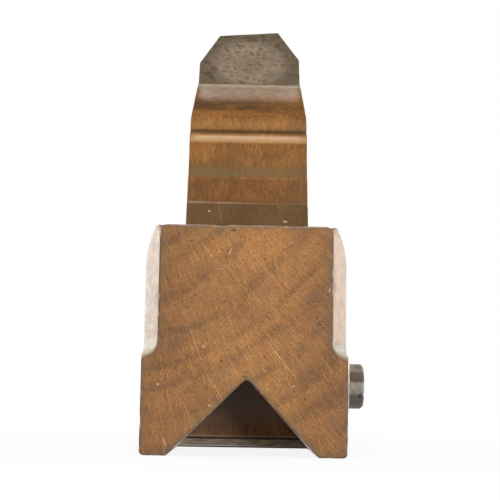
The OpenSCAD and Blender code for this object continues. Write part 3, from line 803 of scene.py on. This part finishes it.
def outer_profile():
    """X and Z of the block's outline on the right, from the inner end of the foot over its quarter
    circle, the straight side and the arc of the long edge to the inner end of the top."""
    foot = run(INNER, FOOT_STEPS, HALF_WIDTH - FOOT_RADIUS)
    turn = run(0.0, TURN_STEPS, math.pi / 2)[1:]
    gouge_depth = CORNER_FACE * math.sin(CORNER_SLANT)
    gouge_end = CORNER_STOP - math.sqrt(GOUGE_RADIUS ** 2 - (GOUGE_RADIUS - gouge_depth) ** 2)
    side = np.concatenate([
        run(FOOT_RADIUS, LOW_STEPS, HOLE_LOW, HOLE_STEPS, HOLE_HIGH)[1:],
        run(gouge_end, GOUGE_STEPS, CORNER_STOP, SIDE_STEPS, HEIGHT - EDGE_DROP),
    ])
    sweep = rimmed(0.0, math.asin(EDGE_DROP / EDGE_RADIUS), SWEEP_STEPS, 0.02)[1:]
    crest = HALF_WIDTH - EDGE_RADIUS + math.sqrt(EDGE_RADIUS ** 2 - EDGE_DROP ** 2)
    top = crest + (INNER - crest) * (1 - CHAMFER_SHARES[::-1])[1:]
    x = np.concatenate([
        foot, HALF_WIDTH - FOOT_RADIUS + FOOT_RADIUS * np.sin(turn), np.full(len(side), HALF_WIDTH),
        HALF_WIDTH - EDGE_RADIUS + EDGE_RADIUS * np.cos(sweep), top,
    ])
    z = np.concatenate([
        0 * foot, FOOT_RADIUS * (1 - np.cos(turn)), side,
        HEIGHT - EDGE_DROP + EDGE_RADIUS * np.sin(sweep), np.full(len(top), HEIGHT),
    ])
    return x, z


def gouge_dip(z):
    """How far the round gouge cut at the foot of a corner chamfer falls short of it at height z."""
    below = np.maximum(CORNER_STOP - z, 0.0)
    return GOUGE_RADIUS - np.sqrt(np.maximum(GOUGE_RADIUS ** 2 - below ** 2, 0.0))


def setback(x, z):
    """How far each line of the outer profile starts behind the toe."""
    behind = ((x - INNER) * math.sin(CORNER_SLANT) - gouge_dip(z)) / math.cos(CORNER_SLANT)
    behind[:GOUGE_ROW + 1] = 0.0
    return behind


def cut_lines(z):
    """Y of four lines on the side wall of the cut at height z: the cut's front, the front and the
    back of the square round the bore, and the cut's back."""
    return [cut_front(z), cut_front(z) + WALL_FRONT, cut_front(z) + WALL_BACK, cut_back(z)]


def side_lines(z):
    """Y of the same four lines on the outside of the block at height z."""
    beside_bore = (HOLE_FRONT - 1, HOLE_FRONT, HOLE_BACK, HOLE_BACK + 6)
    lines = zip(cut_lines(0.0), beside_bore, cut_lines(HEIGHT))
    return [np.interp(z, [0.0, HOLE_LOW, HOLE_HIGH, HEIGHT], [a, b, b, c]) for a, b, c in lines]


def along(start, lines, end, rim):
    """Y from start to end through the four lines of the cut, one row for each line of a profile."""
    a, b, c, d = lines
    return np.concatenate([
        rimmed(start, a, TOE_STEPS, rim)[:-1], a[None], np.linspace(b, c, HOLE_STEPS, endpoint=False),
        np.linspace(c, d, BEHIND_STEPS, endpoint=False), rimmed(d, end, HEEL_STEPS, rim),
    ]).T


def block_ends(across, x, z, behind):
    """The toe and the heel: each is a ruled face above the groove, between two Coons patches that
    reach the foot and the side below the corner chamfers, which are ruled too."""
    low_z = groove_top(across)
    path_x, path_z = x[FOOT_STEPS:GOUGE_ROW + 1], z[FOOT_STEPS:GOUGE_ROW + 1]
    walked = np.insert(np.cumsum(np.hypot(np.diff(path_x), np.diff(path_z))), 0, 0.0)
    up = np.concatenate([CORNER_STOP * walked / walked[-1], z[STOP_ROW + 1:CREST_ROW + 1]])
    face = grid_of(across, -HALF_LENGTH, low_z + up[:, None] / HEIGHT * (HEIGHT - low_z))
    corner_x = INNER + gouge_dip(z) / math.sin(CORNER_SLANT)
    gouge = slice(GOUGE_ROW, STOP_ROW + 1)
    cheek = coons(
        grid_of(x[:FOOT_STEPS + 1], -HALF_LENGTH, 0.0),
        grid_of(corner_x[gouge][::-1], -HALF_LENGTH, z[gouge][::-1]),
        grid_of(INNER, -HALF_LENGTH, up[:len(path_x)]),
        grid_of(path_x, -HALF_LENGTH, path_z),
    )
    rows = slice(GOUGE_ROW, CREST_ROW + 1)
    start = corner_x[rows, None]
    chamfer = grid_of(
        start + CHAMFER_SHARES * (x[rows, None] - start),
        -HALF_LENGTH + CHAMFER_SHARES * behind[rows, None], z[rows, None],
    )
    ends = []
    for turn_y in (1, -1):
        ends.append(face * [1, turn_y, 1])
        for turn_x in (1, -1):
            ends += [cheek * [turn_x, turn_y, 1], chamfer * [turn_x, turn_y, 1]]
    return ends


def cut_walls(across, rim):
    """The four walls of the cut, ruled from the sole to the top, and the edge of the opening for
    the bore in the right one."""
    climb = np.concatenate([
        run(0.0, WALL_STEPS, WALL_LOW, HOLE_STEPS, WALL_HIGH)[:-1],
        rimmed(WALL_HIGH, HEIGHT, WALL_TOP_STEPS, rim),
    ])[:, None] / HEIGHT
    low_z = groove_top(across)
    z = low_z + climb * (HEIGHT - low_z)
    walls = [grid_of(across, cut_front(z), z), grid_of(across, cut_back(z), z)]
    for edge in (0, -1):
        a, b, c, d = cut_lines(z[:, edge])
        over_bore = np.linspace(b, c, HOLE_STEPS, endpoint=False)
        y = np.concatenate([a[None], over_bore, np.linspace(c, d, BEHIND_STEPS + 1)]).T
        walls.append(grid_of(across[edge], y, z[:, edge, None]))
    right = walls.pop()
    keep = all_squares(right)
    keep[WALL_STEPS:WALL_STEPS + HOLE_STEPS, 1:HOLE_STEPS + 1] = False
    opening = right[WALL_STEPS:WALL_STEPS + HOLE_STEPS + 1, 1:HOLE_STEPS + 2]
    return [*walls, (right, keep)], ring_of(opening)


def screw_bore(side_ring, wall_ring):
    """The stepped bore through the right cheek, as rings P(a) = (x, y0 + r cos a, z0 + r sin a)
    between the openings in the side and in the wall of the cut."""
    angle = np.arctan2(side_ring[:, 2] - SCREW_Z, side_ring[:, 1] - SCREW_Y)
    radii = (BARREL_RADIUS, BARREL_RADIUS, BORE_RADIUS, BORE_RADIUS)
    places = (HALF_WIDTH, BARREL_X, BARREL_X, CUT_HALF)
    rings = [
        grid_of(x, SCREW_Y + r * np.cos(angle), SCREW_Z + r * np.sin(angle)) for r, x in zip(radii, places)
    ]
    return np.stack([side_ring, *rings, wall_ring])


def block_mesh(rim):
    """The block as one profile carried from toe to heel, P(s, y) = (x(s), y, z(s)), whose lines are
    drawn to the front and the back of the cut, closed by its ends, the cut's walls and the bore."""
    across = block_columns(rim)
    x, z = outer_profile()
    behind = setback(x, z)
    low_z, top_z = groove_top(across), np.full(len(across), HEIGHT)
    toe = np.full(len(across), -HALF_LENGTH)
    bottom = grid_of(across[:, None], along(toe, cut_lines(low_z), -toe, rim), low_z[:, None])
    top = grid_of(across[::-1, None], along(toe, cut_lines(top_z), -toe, rim), top_z[:, None])
    side_y = along(behind - HALF_LENGTH, side_lines(z), HALF_LENGTH - behind, rim)
    right = grid_of(x[:, None], side_y, z[:, None])
    left = (right * [-1, 1, 1])[::-1]
    in_cut = np.abs(across) <= CUT_HALF + 1e-6
    cut_columns = range(TOE_STEPS, TOE_STEPS + 1 + HOLE_STEPS + BEHIND_STEPS)
    bottom_keep = all_squares(bottom)
    bottom_keep[np.ix_(in_cut[:-1] & in_cut[1:], cut_columns)] = False
    right_keep = all_squares(right)
    right_keep[HOLE_ROW:HOLE_ROW + HOLE_STEPS, BORE_COLUMN:BORE_COLUMN + HOLE_STEPS] = False
    opening = right[HOLE_ROW:HOLE_ROW + HOLE_STEPS + 1, BORE_COLUMN:BORE_COLUMN + HOLE_STEPS + 1]
    walls, wall_ring = cut_walls(across[in_cut], rim)
    return skin("block", [
        (bottom, bottom_keep), (right, right_keep), (top, bottom_keep[::-1]), left,
        *block_ends(across, x, z, behind), *walls, screw_bore(ring_of(opening), wall_ring),
    ])


# The wedge and the iron


# Heights on the wedge's front where each band of wear, dirt, painted highlight, painted light, painted shade
# and painted sheen begins, is full, starts to fade and ends
WEDGE_BANDS = {
    "low lip": (87.3, 88.0, 88.6, 95.0),
    "hollow": (90.0, 95.0, 98.0, 99.5),
    "bead": (99.2, 100.4, 101.4, 103.2),
    "quirk": (103.2, 103.7, 104.7, 105.0),
    "nose lip": (104.8, 105.1, 105.6, 111.0),
    "nose": (112.0, 116.0, 118.0, 128.0),
}
# Steps of mesh along the parts of the wedge's front, then across and through the wedge
TIP_STEPS, FLAT_STEPS, COVE_STEPS, BEAD_STEPS, NOSE_STEPS, TOP_STEPS = 11, 34, 24, 16, 28, 25
WEDGE_ACROSS, WEDGE_THROUGH = 46, 9
# Steps of mesh along the iron's bevel, its straight edges and its clipped corners, then across and
# through the iron
BEVEL_STEPS, STRAIGHT_STEPS, CLIP_STEPS, IRON_ACROSS, IRON_THROUGH = 10, 120, 16, 34, 6


def ellipse_arc(centre, radii, start, end, steps):
    """Points centre + (a cos t, b sin t) for t from start to end degrees."""
    t = np.radians(np.linspace(start, end, steps + 1))
    return np.stack([centre[0] + radii[0] * np.cos(t), centre[1] + radii[1] * np.sin(t)], axis=1)


def wedge_front():
    """Y and Z of the wedge's front from its lower tip, over the moulding and the nose, to the iron
    at the top: quarter ellipses for the hollow, the bead and the nose, and a slightly bulging top
    crest + t u + 4 b u (1 - u) n."""
    behind_stop = STOP_THICKNESS + SLIDE_GAP
    tip = np.array([bed_slope(WEDGE_TIP, -SLIDE_GAP - WEDGE_BLUNT), WEDGE_TIP])
    full = np.array([stop_slope(WEDGE_FULL, behind_stop), WEDGE_FULL])
    arris = np.array([stop_slope(WEDGE_ARRIS, behind_stop), WEDGE_ARRIS])
    hollow_end = arris + [COVE_DEPTH, COVE_HEIGHT]
    bead_end = hollow_end + [BEAD_DEPTH, BEAD_HEIGHT]
    quirk = bead_end + [QUIRK_DEPTH, QUIRK_STEP]
    nose = quirk + [-NOSE_OVERHANG, NOSE_OVERHANG]
    nose_centre = nose + [NOSE_DEPTH, NOSE_UPRIGHT]
    sweep = math.degrees(math.atan2(NOSE_HEIGHT, NOSE_DEPTH * math.tan(WEDGE_TOP_ANGLE + CREST_EXTRA)))
    curve = ellipse_arc(nose_centre, (NOSE_DEPTH, NOSE_HEIGHT), 180, 180 - sweep, NOSE_STEPS)
    crest = curve[-1]
    ahead = np.array([math.cos(WEDGE_TOP_ANGLE), math.sin(WEDGE_TOP_ANGLE)])
    gap = bed_slope(crest[1], -SLIDE_GAP) - crest[0]
    reach = gap / (ahead[0] - ahead[1] / math.tan(BED_ANGLE))
    u = np.linspace(0, 1, TOP_STEPS + 1)[1:, None]
    bulge = 4 * WEDGE_TOP_BULGE * u * (1 - u)
    return np.concatenate([
        tip + np.linspace(0, 1, TIP_STEPS + 1)[:, None] * (full - tip),
        full + rimmed(0.0, 1.0, FLAT_STEPS, 0.008)[1:, None] * (arris - full),
        ellipse_arc((arris[0], hollow_end[1]), (COVE_DEPTH, COVE_HEIGHT), -90, 0, COVE_STEPS)[1:],
        ellipse_arc((bead_end[0], hollow_end[1]), (BEAD_DEPTH, BEAD_HEIGHT), 180, 90, BEAD_STEPS)[1:],
        quirk[None], (quirk + nose)[None] / 2, nose[None], curve,
        crest + reach * u * ahead + bulge * [-ahead[1], ahead[0]],
    ])


def wedge_mesh(rim, taper):
    """The wedge's front line carried across its width, P(x, i) = (x w(z), y_i, z_i), where w
    narrows it towards the top, side faces of level lines from the front to the straight back, the
    back itself and the blunt lower end."""
    taper_start, taper_rise = 87.0, 47.0
    front = wedge_front()
    back = np.stack([bed_slope(front[:, 1], -SLIDE_GAP), front[:, 1]], axis=1)
    x = rimmed(-1.0, 1.0, WEDGE_ACROSS, rim / WEDGE_HALF)

    def half(z):
        return WEDGE_HALF - taper / 2 * np.clip((z - taper_start) / taper_rise, 0.0, 1.0)

    def sheet(line):
        return grid_of(x * half(line[:, 1:]), line[:, :1], line[:, 1:])

    through = rimmed(0.0, 1.0, WEDGE_THROUGH, 0.02)[:, None]
    y = front[:, 0] + through * (back[:, 0] - front[:, 0])
    z = front[:, 1] + through * (back[:, 1] - front[:, 1])
    flank = grid_of(half(z), y, z)
    end = grid_of(x * WEDGE_HALF, y[:, :1], z[:, :1])
    return skin("wedge", [sheet(front), sheet(back), end, flank, flank * [-1, 1, 1]])


def iron_mesh(rim):
    """The iron as straight lines between its left and right edges, carried from the cutting edge to
    the top, at depths 0 and min(thickness, v tan(bevel)) below its face."""
    bevel = rimmed(0.0, IRON_THICKNESS / math.tan(IRON_BEVEL), BEVEL_STEPS, 0.25)

    def edge(x, clip, length):
        """Across and up the iron, for an edge at x that ends in a clipped corner."""
        start = length - IRON_CLIP_LENGTH
        straight = rimmed(bevel[-1], start, STRAIGHT_STEPS, rim)
        v = np.concatenate([bevel, straight[1:], rimmed(start, length, CLIP_STEPS, rim)[1:]])
        return np.stack([x + clip * np.maximum(v - start, 0.0) / IRON_CLIP_LENGTH, v], axis=1)

    left = edge(-IRON_HALF, IRON_CLIP_LEFT, IRON_LENGTH - IRON_SLANT)
    right = edge(IRON_HALF, -IRON_CLIP_RIGHT, IRON_LENGTH)
    q = rimmed(0.0, 1.0, IRON_ACROSS, rim / (2 * IRON_HALF))[:, None, None]
    u, v = np.moveaxis(left + q * (right - left), -1, 0).transpose(0, 2, 1)
    thick = np.minimum(IRON_THICKNESS, v * math.tan(IRON_BEVEL))

    def at(u, v, depth):
        y = IRON_Y + v * math.cos(BED_ANGLE) + depth * math.sin(BED_ANGLE)
        return grid_of(u, y, IRON_Z + v * math.sin(BED_ANGLE) - depth * math.cos(BED_ANGLE))

    down = rimmed(0.0, 1.0, IRON_THROUGH, 0.09)[:, None]
    return skin("iron", [
        at(u, v, 0.0), at(u, v, thick),
        at(u[:, 0], v[:, 0], down * thick[:, 0]), at(u[:, -1], v[:, -1], down * thick[:, -1]),
        at(u[-1], v[-1], down * thick[-1]),
    ])


# The stage


# The camera in millimetres and degrees, fitted to the corners of the block, the wedge and the iron
CAMERA_PLACE = (-0.307, -HALF_LENGTH - 316.32, 15.68)
CAMERA_PITCH, CAMERA_YAW, CAMERA_ROLL = 6.863, 0.213, 0.962
# Half the floor's side and its depth below the feet, in metres
FLOOR_REACH, FLOOR_DROP = 6.0, 0.02 * MM
# Between these distances in metres the floor's white grows from this share to all of it
WHITE_START, WHITE_END, WHITE_NEAR = 0.1, 0.4, 0.88
# The point in metres that all lamps but the low one face
PLANE_MIDDLE = (0.0, 0.0, 0.07)
# The right side lamp's share of the left one's radiance
RIGHT_SHARE = 0.72


def facing(right, up, back):
    """The turn of an object whose own X, Y and Z are these three directions."""
    return Matrix(np.stack([right, up, back], axis=1).tolist()).to_4x4()


def lamp(name, place, aim, size, radiance):
    """A soft square lamp whose face has the given radiance, so that a white thing that it fills
    renders at that level."""
    data = bpy.data.lights.new(name, "AREA")
    data.shape, data.size = "SQUARE", size
    data.energy = radiance * math.pi * size * size
    light = new_object(name, data)
    back = (np.array(place) - np.array(aim)).astype(float)
    back /= np.linalg.norm(back)
    across = np.cross([0.0, 0.0, 1.0], back)
    across /= np.linalg.norm(across)
    light.matrix_world = Matrix.Translation(place) @ facing(across, np.cross(back, across), back)
    return light


def white_to_camera(nodes, lit, white, share=1.0):
    """Mixes plain white, by a share, into a shader for camera, glossy and transmission rays."""
    rays = nodes.add("LightPath").outputs
    seen = rays["Is Camera Ray"]
    for kind in ("Is Glossy Ray", "Is Transmission Ray"):
        seen = nodes.maths("MAXIMUM", seen, rays[kind])
    inputs = {0: nodes.times(seen, share), 1: lit.outputs[0], 2: white.outputs[0]}
    return nodes.add("MixShader", inputs).outputs[0]


def make_floor():
    """A pale square that keeps a faint shadow of the plane and goes over to white further out."""
    mesh = bpy.data.meshes.new("floor")
    corners = [(FLOOR_REACH * x, FLOOR_REACH * y, 0) for x, y in ((-1, -1), (1, -1), (1, 1), (-1, 1))]
    mesh.from_pydata(corners, [], [(0, 1, 2, 3)])
    material = bpy.data.materials.new("Pale floor")
    nodes = Nodes(material)
    matt = nodes.add("BsdfDiffuse", {"Color": (0.86, 0.86, 0.86, 1.0)})
    away = nodes.distance(nodes.add("TexCoord").outputs["Object"])
    share = nodes.fade(away, WHITE_START, WHITE_END, WHITE_NEAR, 1.0)
    nodes.add("OutputMaterial", {0: white_to_camera(nodes, matt, nodes.add("Emission"), share)})
    mesh.materials.append(material)
    floor = new_object("floor", mesh)
    floor.location.z = -FLOOR_DROP


def make_room(scene, level):
    """A white room that lights the plane evenly at the given level."""
    scene.world = bpy.data.worlds.new("White room")
    nodes = Nodes(scene.world)
    dim = nodes.add("Background", {"Strength": level})
    white = nodes.add("Background", {"Color": (1.0, 1.0, 1.0, 1.0)})
    nodes.add("OutputWorld", {0: white_to_camera(nodes, dim, white)})


def make_camera(scene, lens):
    """The camera at the photo's viewpoint: turned by its yaw, tilted up by its pitch, then rolled."""
    data = bpy.data.cameras.new("camera")
    data.lens, data.sensor_width, data.clip_start = lens, 36.0, 0.01
    camera = new_object("camera", data)
    pitch, yaw, roll = (math.radians(a) for a in (CAMERA_PITCH, CAMERA_YAW, CAMERA_ROLL))
    ahead = np.array([math.sin(yaw) * math.cos(pitch), math.cos(yaw) * math.cos(pitch), math.sin(pitch)])
    right = np.array([math.cos(yaw), -math.sin(yaw), 0.0])
    up = np.cross(right, ahead)
    side = math.cos(roll) * right + math.sin(roll) * up
    top = -math.sin(roll) * right + math.cos(roll) * up
    place = Matrix.Translation([v * MM for v in CAMERA_PLACE])
    camera.matrix_world = place @ facing(side, top, -ahead)
    scene.camera = camera


# Operators


class CHAMFERPLANE_OT_block(bpy.types.Operator):
    """Builds the beech block with its groove, its cut and its stopped corner chamfers"""
    bl_idname = "chamferplane.block"
    bl_label = "Block"

    def execute(self, context):
        shape = context.scene.plane_shape
        mesh = block_mesh(shape.rim / MM)
        worn_edges(mesh, shape.block_edge, shape.wander, seed=3)
        dent_toe(mesh, TOE_KNOCKS)
        x, y, z = np.abs(read(mesh.vertices, "co").T / MM)
        normal = np.abs(read(mesh.vertex_normals, "vector"))
        corner = (x > INNER + 0.05) & (y < HALF_LENGTH - 0.05) & (y > HALF_LENGTH - CORNER_SIDE - 0.05)
        slanting = step(normal[:, 1], 0.15, 0.4)
        paint(mesh, "chamfered", corner * step(z, CORNER_STOP - 0.8, CORNER_STOP + 0.8) * slanting)
        low = step(CORNER_STOP - z, 0.2, 0.8) * (z > CORNER_STOP - GOUGE_RADIUS - 0.1)
        paint(mesh, "gouged", corner * low * step(1 - normal[:, 0], 0.01, 0.06))
        put("block", mesh, block_finish(context.scene.plane_colours), "block", "beech", "stock")
        return {"FINISHED"}


class CHAMFERPLANE_OT_stop(bpy.types.Operator):
    """Finishes the sliding stop, its steel sole, the wear strip and their screws and pins"""
    bl_idname = "chamferplane.stop"
    bl_label = "Stop"

    def execute(self, context):
        colours = context.scene.plane_colours
        dress("stop_box", stop_finish(colours), 0.3)
        sole = sole_finish()
        for name in ("stop_sole_plate", "stop_wear_plate"):
            dress(name, sole)
        screws = mottled_steel(colours, "Sole screw steel").material
        dress("stop_sole_screws", screws, 0.08)
        dress("wear_plate_pins", brass_finish(), 0.06)
        return {"FINISHED"}


class CHAMFERPLANE_OT_wedge(bpy.types.Operator):
    """Builds the moulded beech wedge"""
    bl_idname = "chamferplane.wedge"
    bl_label = "Wedge"

    def execute(self, context):
        shape = context.scene.plane_shape
        mesh = wedge_mesh(shape.rim / MM, shape.wedge_taper / MM)
        worn_edges(mesh, shape.wedge_edge, shape.wander, seed=11)
        x, _, z = read(mesh.vertices, "co").T / MM
        normal = read(mesh.vertex_normals, "vector")
        front = (1 - step(np.abs(normal[:, 0]), 0.3, 0.8)) * (1 - step(normal[:, 1], 0.3, 0.6))
        wear = {name: band(z, *heights) for name, heights in WEDGE_BANDS.items()}
        flat = 1 - step(z, WEDGE_ARRIS - 0.3, WEDGE_ARRIS + 0.1)
        held_corner = flat * step(x, 4.0, 18.0) * (1 - step(z, 77.0, 84.0))
        # The crest band is a painted highlight along the wedge's top
        crest = step(z, 130.2, 133.0) * (1 - 0.7 * step(z, 133.6, 137.0))
        # Painted bands: wear with a painted highlight on the bead and the nose's lip, and painted light in
        # the hollow; a painted highlight at the top; gloss; painted shade on the flat; a darker band on the
        # nose; dirt at the held corner, painted shade in the quirk and a painted grey sheen at the hollow's
        # foot and on the nose's top
        painted = {
            "rubbed_and_painted_light": wear["bead"] + 0.14 * wear["hollow"] + 0.3 * wear["nose lip"],
            "crest": crest,
            "polish": wear["bead"] + 0.2 * wear["low lip"] + 0.75 * step(z, 118.0, 134.0),
            "painted_shade_below_hollow": flat,
            "darker_nose_band": wear["nose"] * (1 - 0.6 * step(x, 0.0, 16.0)),
            "dust_shade_and_sheen": wear["low lip"] + wear["quirk"] + step(z, 117.0, 133.0) + 0.6 * held_corner,
        }
        for name, value in painted.items():
            paint(mesh, name, front * value)
        finish = wedge_finish(context.scene.plane_colours)
        put("moulded_wedge", mesh, finish, "wedge", "wedge_beech", "wedge")
        return {"FINISHED"}


class CHAMFERPLANE_OT_iron(bpy.types.Operator):
    """Builds the iron with its clipped top corners and its ground bevel"""
    bl_idname = "chamferplane.iron"
    bl_label = "Iron"

    def execute(self, context):
        shape = context.scene.plane_shape
        mesh = iron_mesh(shape.rim / MM)
        worn_edges(mesh, shape.iron_edge, shape.wander, seed=21)
        put("plane_iron", mesh, iron_finish(context.scene.plane_colours), "iron", "iron_steel", "iron")
        return {"FINISHED"}


class CHAMFERPLANE_OT_hardware(bpy.types.Operator):
    """Finishes the lock screw, its pad, the flanged boss and the boss's two screws"""
    bl_idname = "chamferplane.hardware"
    bl_label = "Lock screw and boss"

    def execute(self, context):
        colours = context.scene.plane_colours
        dress("lock_screw", screw_finish(colours), 0.2)
        screws = mottled_steel(colours, "Small screw steel").material
        dress("boss_screws", screws, 0.08)
        brass = brass_finish()
        dress("screw_boss", brass, 0.3)
        dress("pressure_pad", brass, 0.12)
        return {"FINISHED"}


class CHAMFERPLANE_OT_stage(bpy.types.Operator):
    """Makes the pale floor, the white room, the soft lamps and the camera"""
    bl_idname = "chamferplane.stage"
    bl_label = "Stage"

    def execute(self, context):
        stage = context.scene.plane_stage
        make_floor()
        make_room(context.scene, stage.room)
        lamp("lamp_left", (-0.66, 0.50, 0.26), PLANE_MIDDLE, 0.56, stage.side_lamp)
        lamp("lamp_right", (0.66, 0.50, 0.26), PLANE_MIDDLE, 0.56, RIGHT_SHARE * stage.side_lamp)
        lamp("lamp_front", (-0.05, -0.42, 1.00), PLANE_MIDDLE, 0.55, stage.front_lamp)
        lamp("lamp_fill", (0.62, -0.72, 0.34), PLANE_MIDDLE, 0.5, stage.fill_lamp)
        low = lamp("lamp_low", (0.30, -0.75, 0.075), (0.0, 0.0, 0.01), 0.2, stage.low_lamp)
        low.visible_glossy = False
        lamp("lamp_rear", (0.0, 0.82, 0.74), PLANE_MIDDLE, 0.5, stage.rear_lamp)
        make_camera(context.scene, stage.lens)
        context.scene.view_settings.view_transform = "Standard"
        return {"FINISHED"}


OPERATORS = (
    CHAMFERPLANE_OT_block, CHAMFERPLANE_OT_stop, CHAMFERPLANE_OT_wedge, CHAMFERPLANE_OT_iron,
    CHAMFERPLANE_OT_hardware, CHAMFERPLANE_OT_stage,
)


class CHAMFERPLANE_PT_sidebar(bpy.types.Panel):
    """Lists the pieces of the plane and the stage"""
    bl_idname = "CHAMFERPLANE_PT_sidebar"
    bl_label = "Chamfer Plane"
    bl_space_type = "VIEW_3D"
    bl_region_type = "UI"
    bl_category = "Chamfer Plane"

    def draw(self, context):
        for operator in OPERATORS:
            self.layout.operator(operator.bl_idname)
        for key in GROUPS:
            group = getattr(context.scene, key)
            box = self.layout.box()
            for setting in group.__annotations__:
                box.prop(group, setting)


GROUPS = {"plane_shape": PlaneShape, "plane_colours": PlaneColours, "plane_stage": StageSettings}
CLASSES = (*GROUPS.values(), *OPERATORS, CHAMFERPLANE_PT_sidebar)


def register():
    for made in CLASSES:
        bpy.utils.register_class(made)
    for key, group in GROUPS.items():
        setattr(bpy.types.Scene, key, bpy.props.PointerProperty(type=group))


def unregister():
    for key in GROUPS:
        delattr(bpy.types.Scene, key)
    for made in reversed(CLASSES):
        bpy.utils.unregister_class(made)


def main():
    register()
    bpy.ops.chamferplane.block()
    bpy.ops.chamferplane.stop()
    bpy.ops.chamferplane.wedge()
    bpy.ops.chamferplane.iron()
    bpy.ops.chamferplane.hardware()
    bpy.ops.chamferplane.stage()


if __name__ == "__main__":
    main()
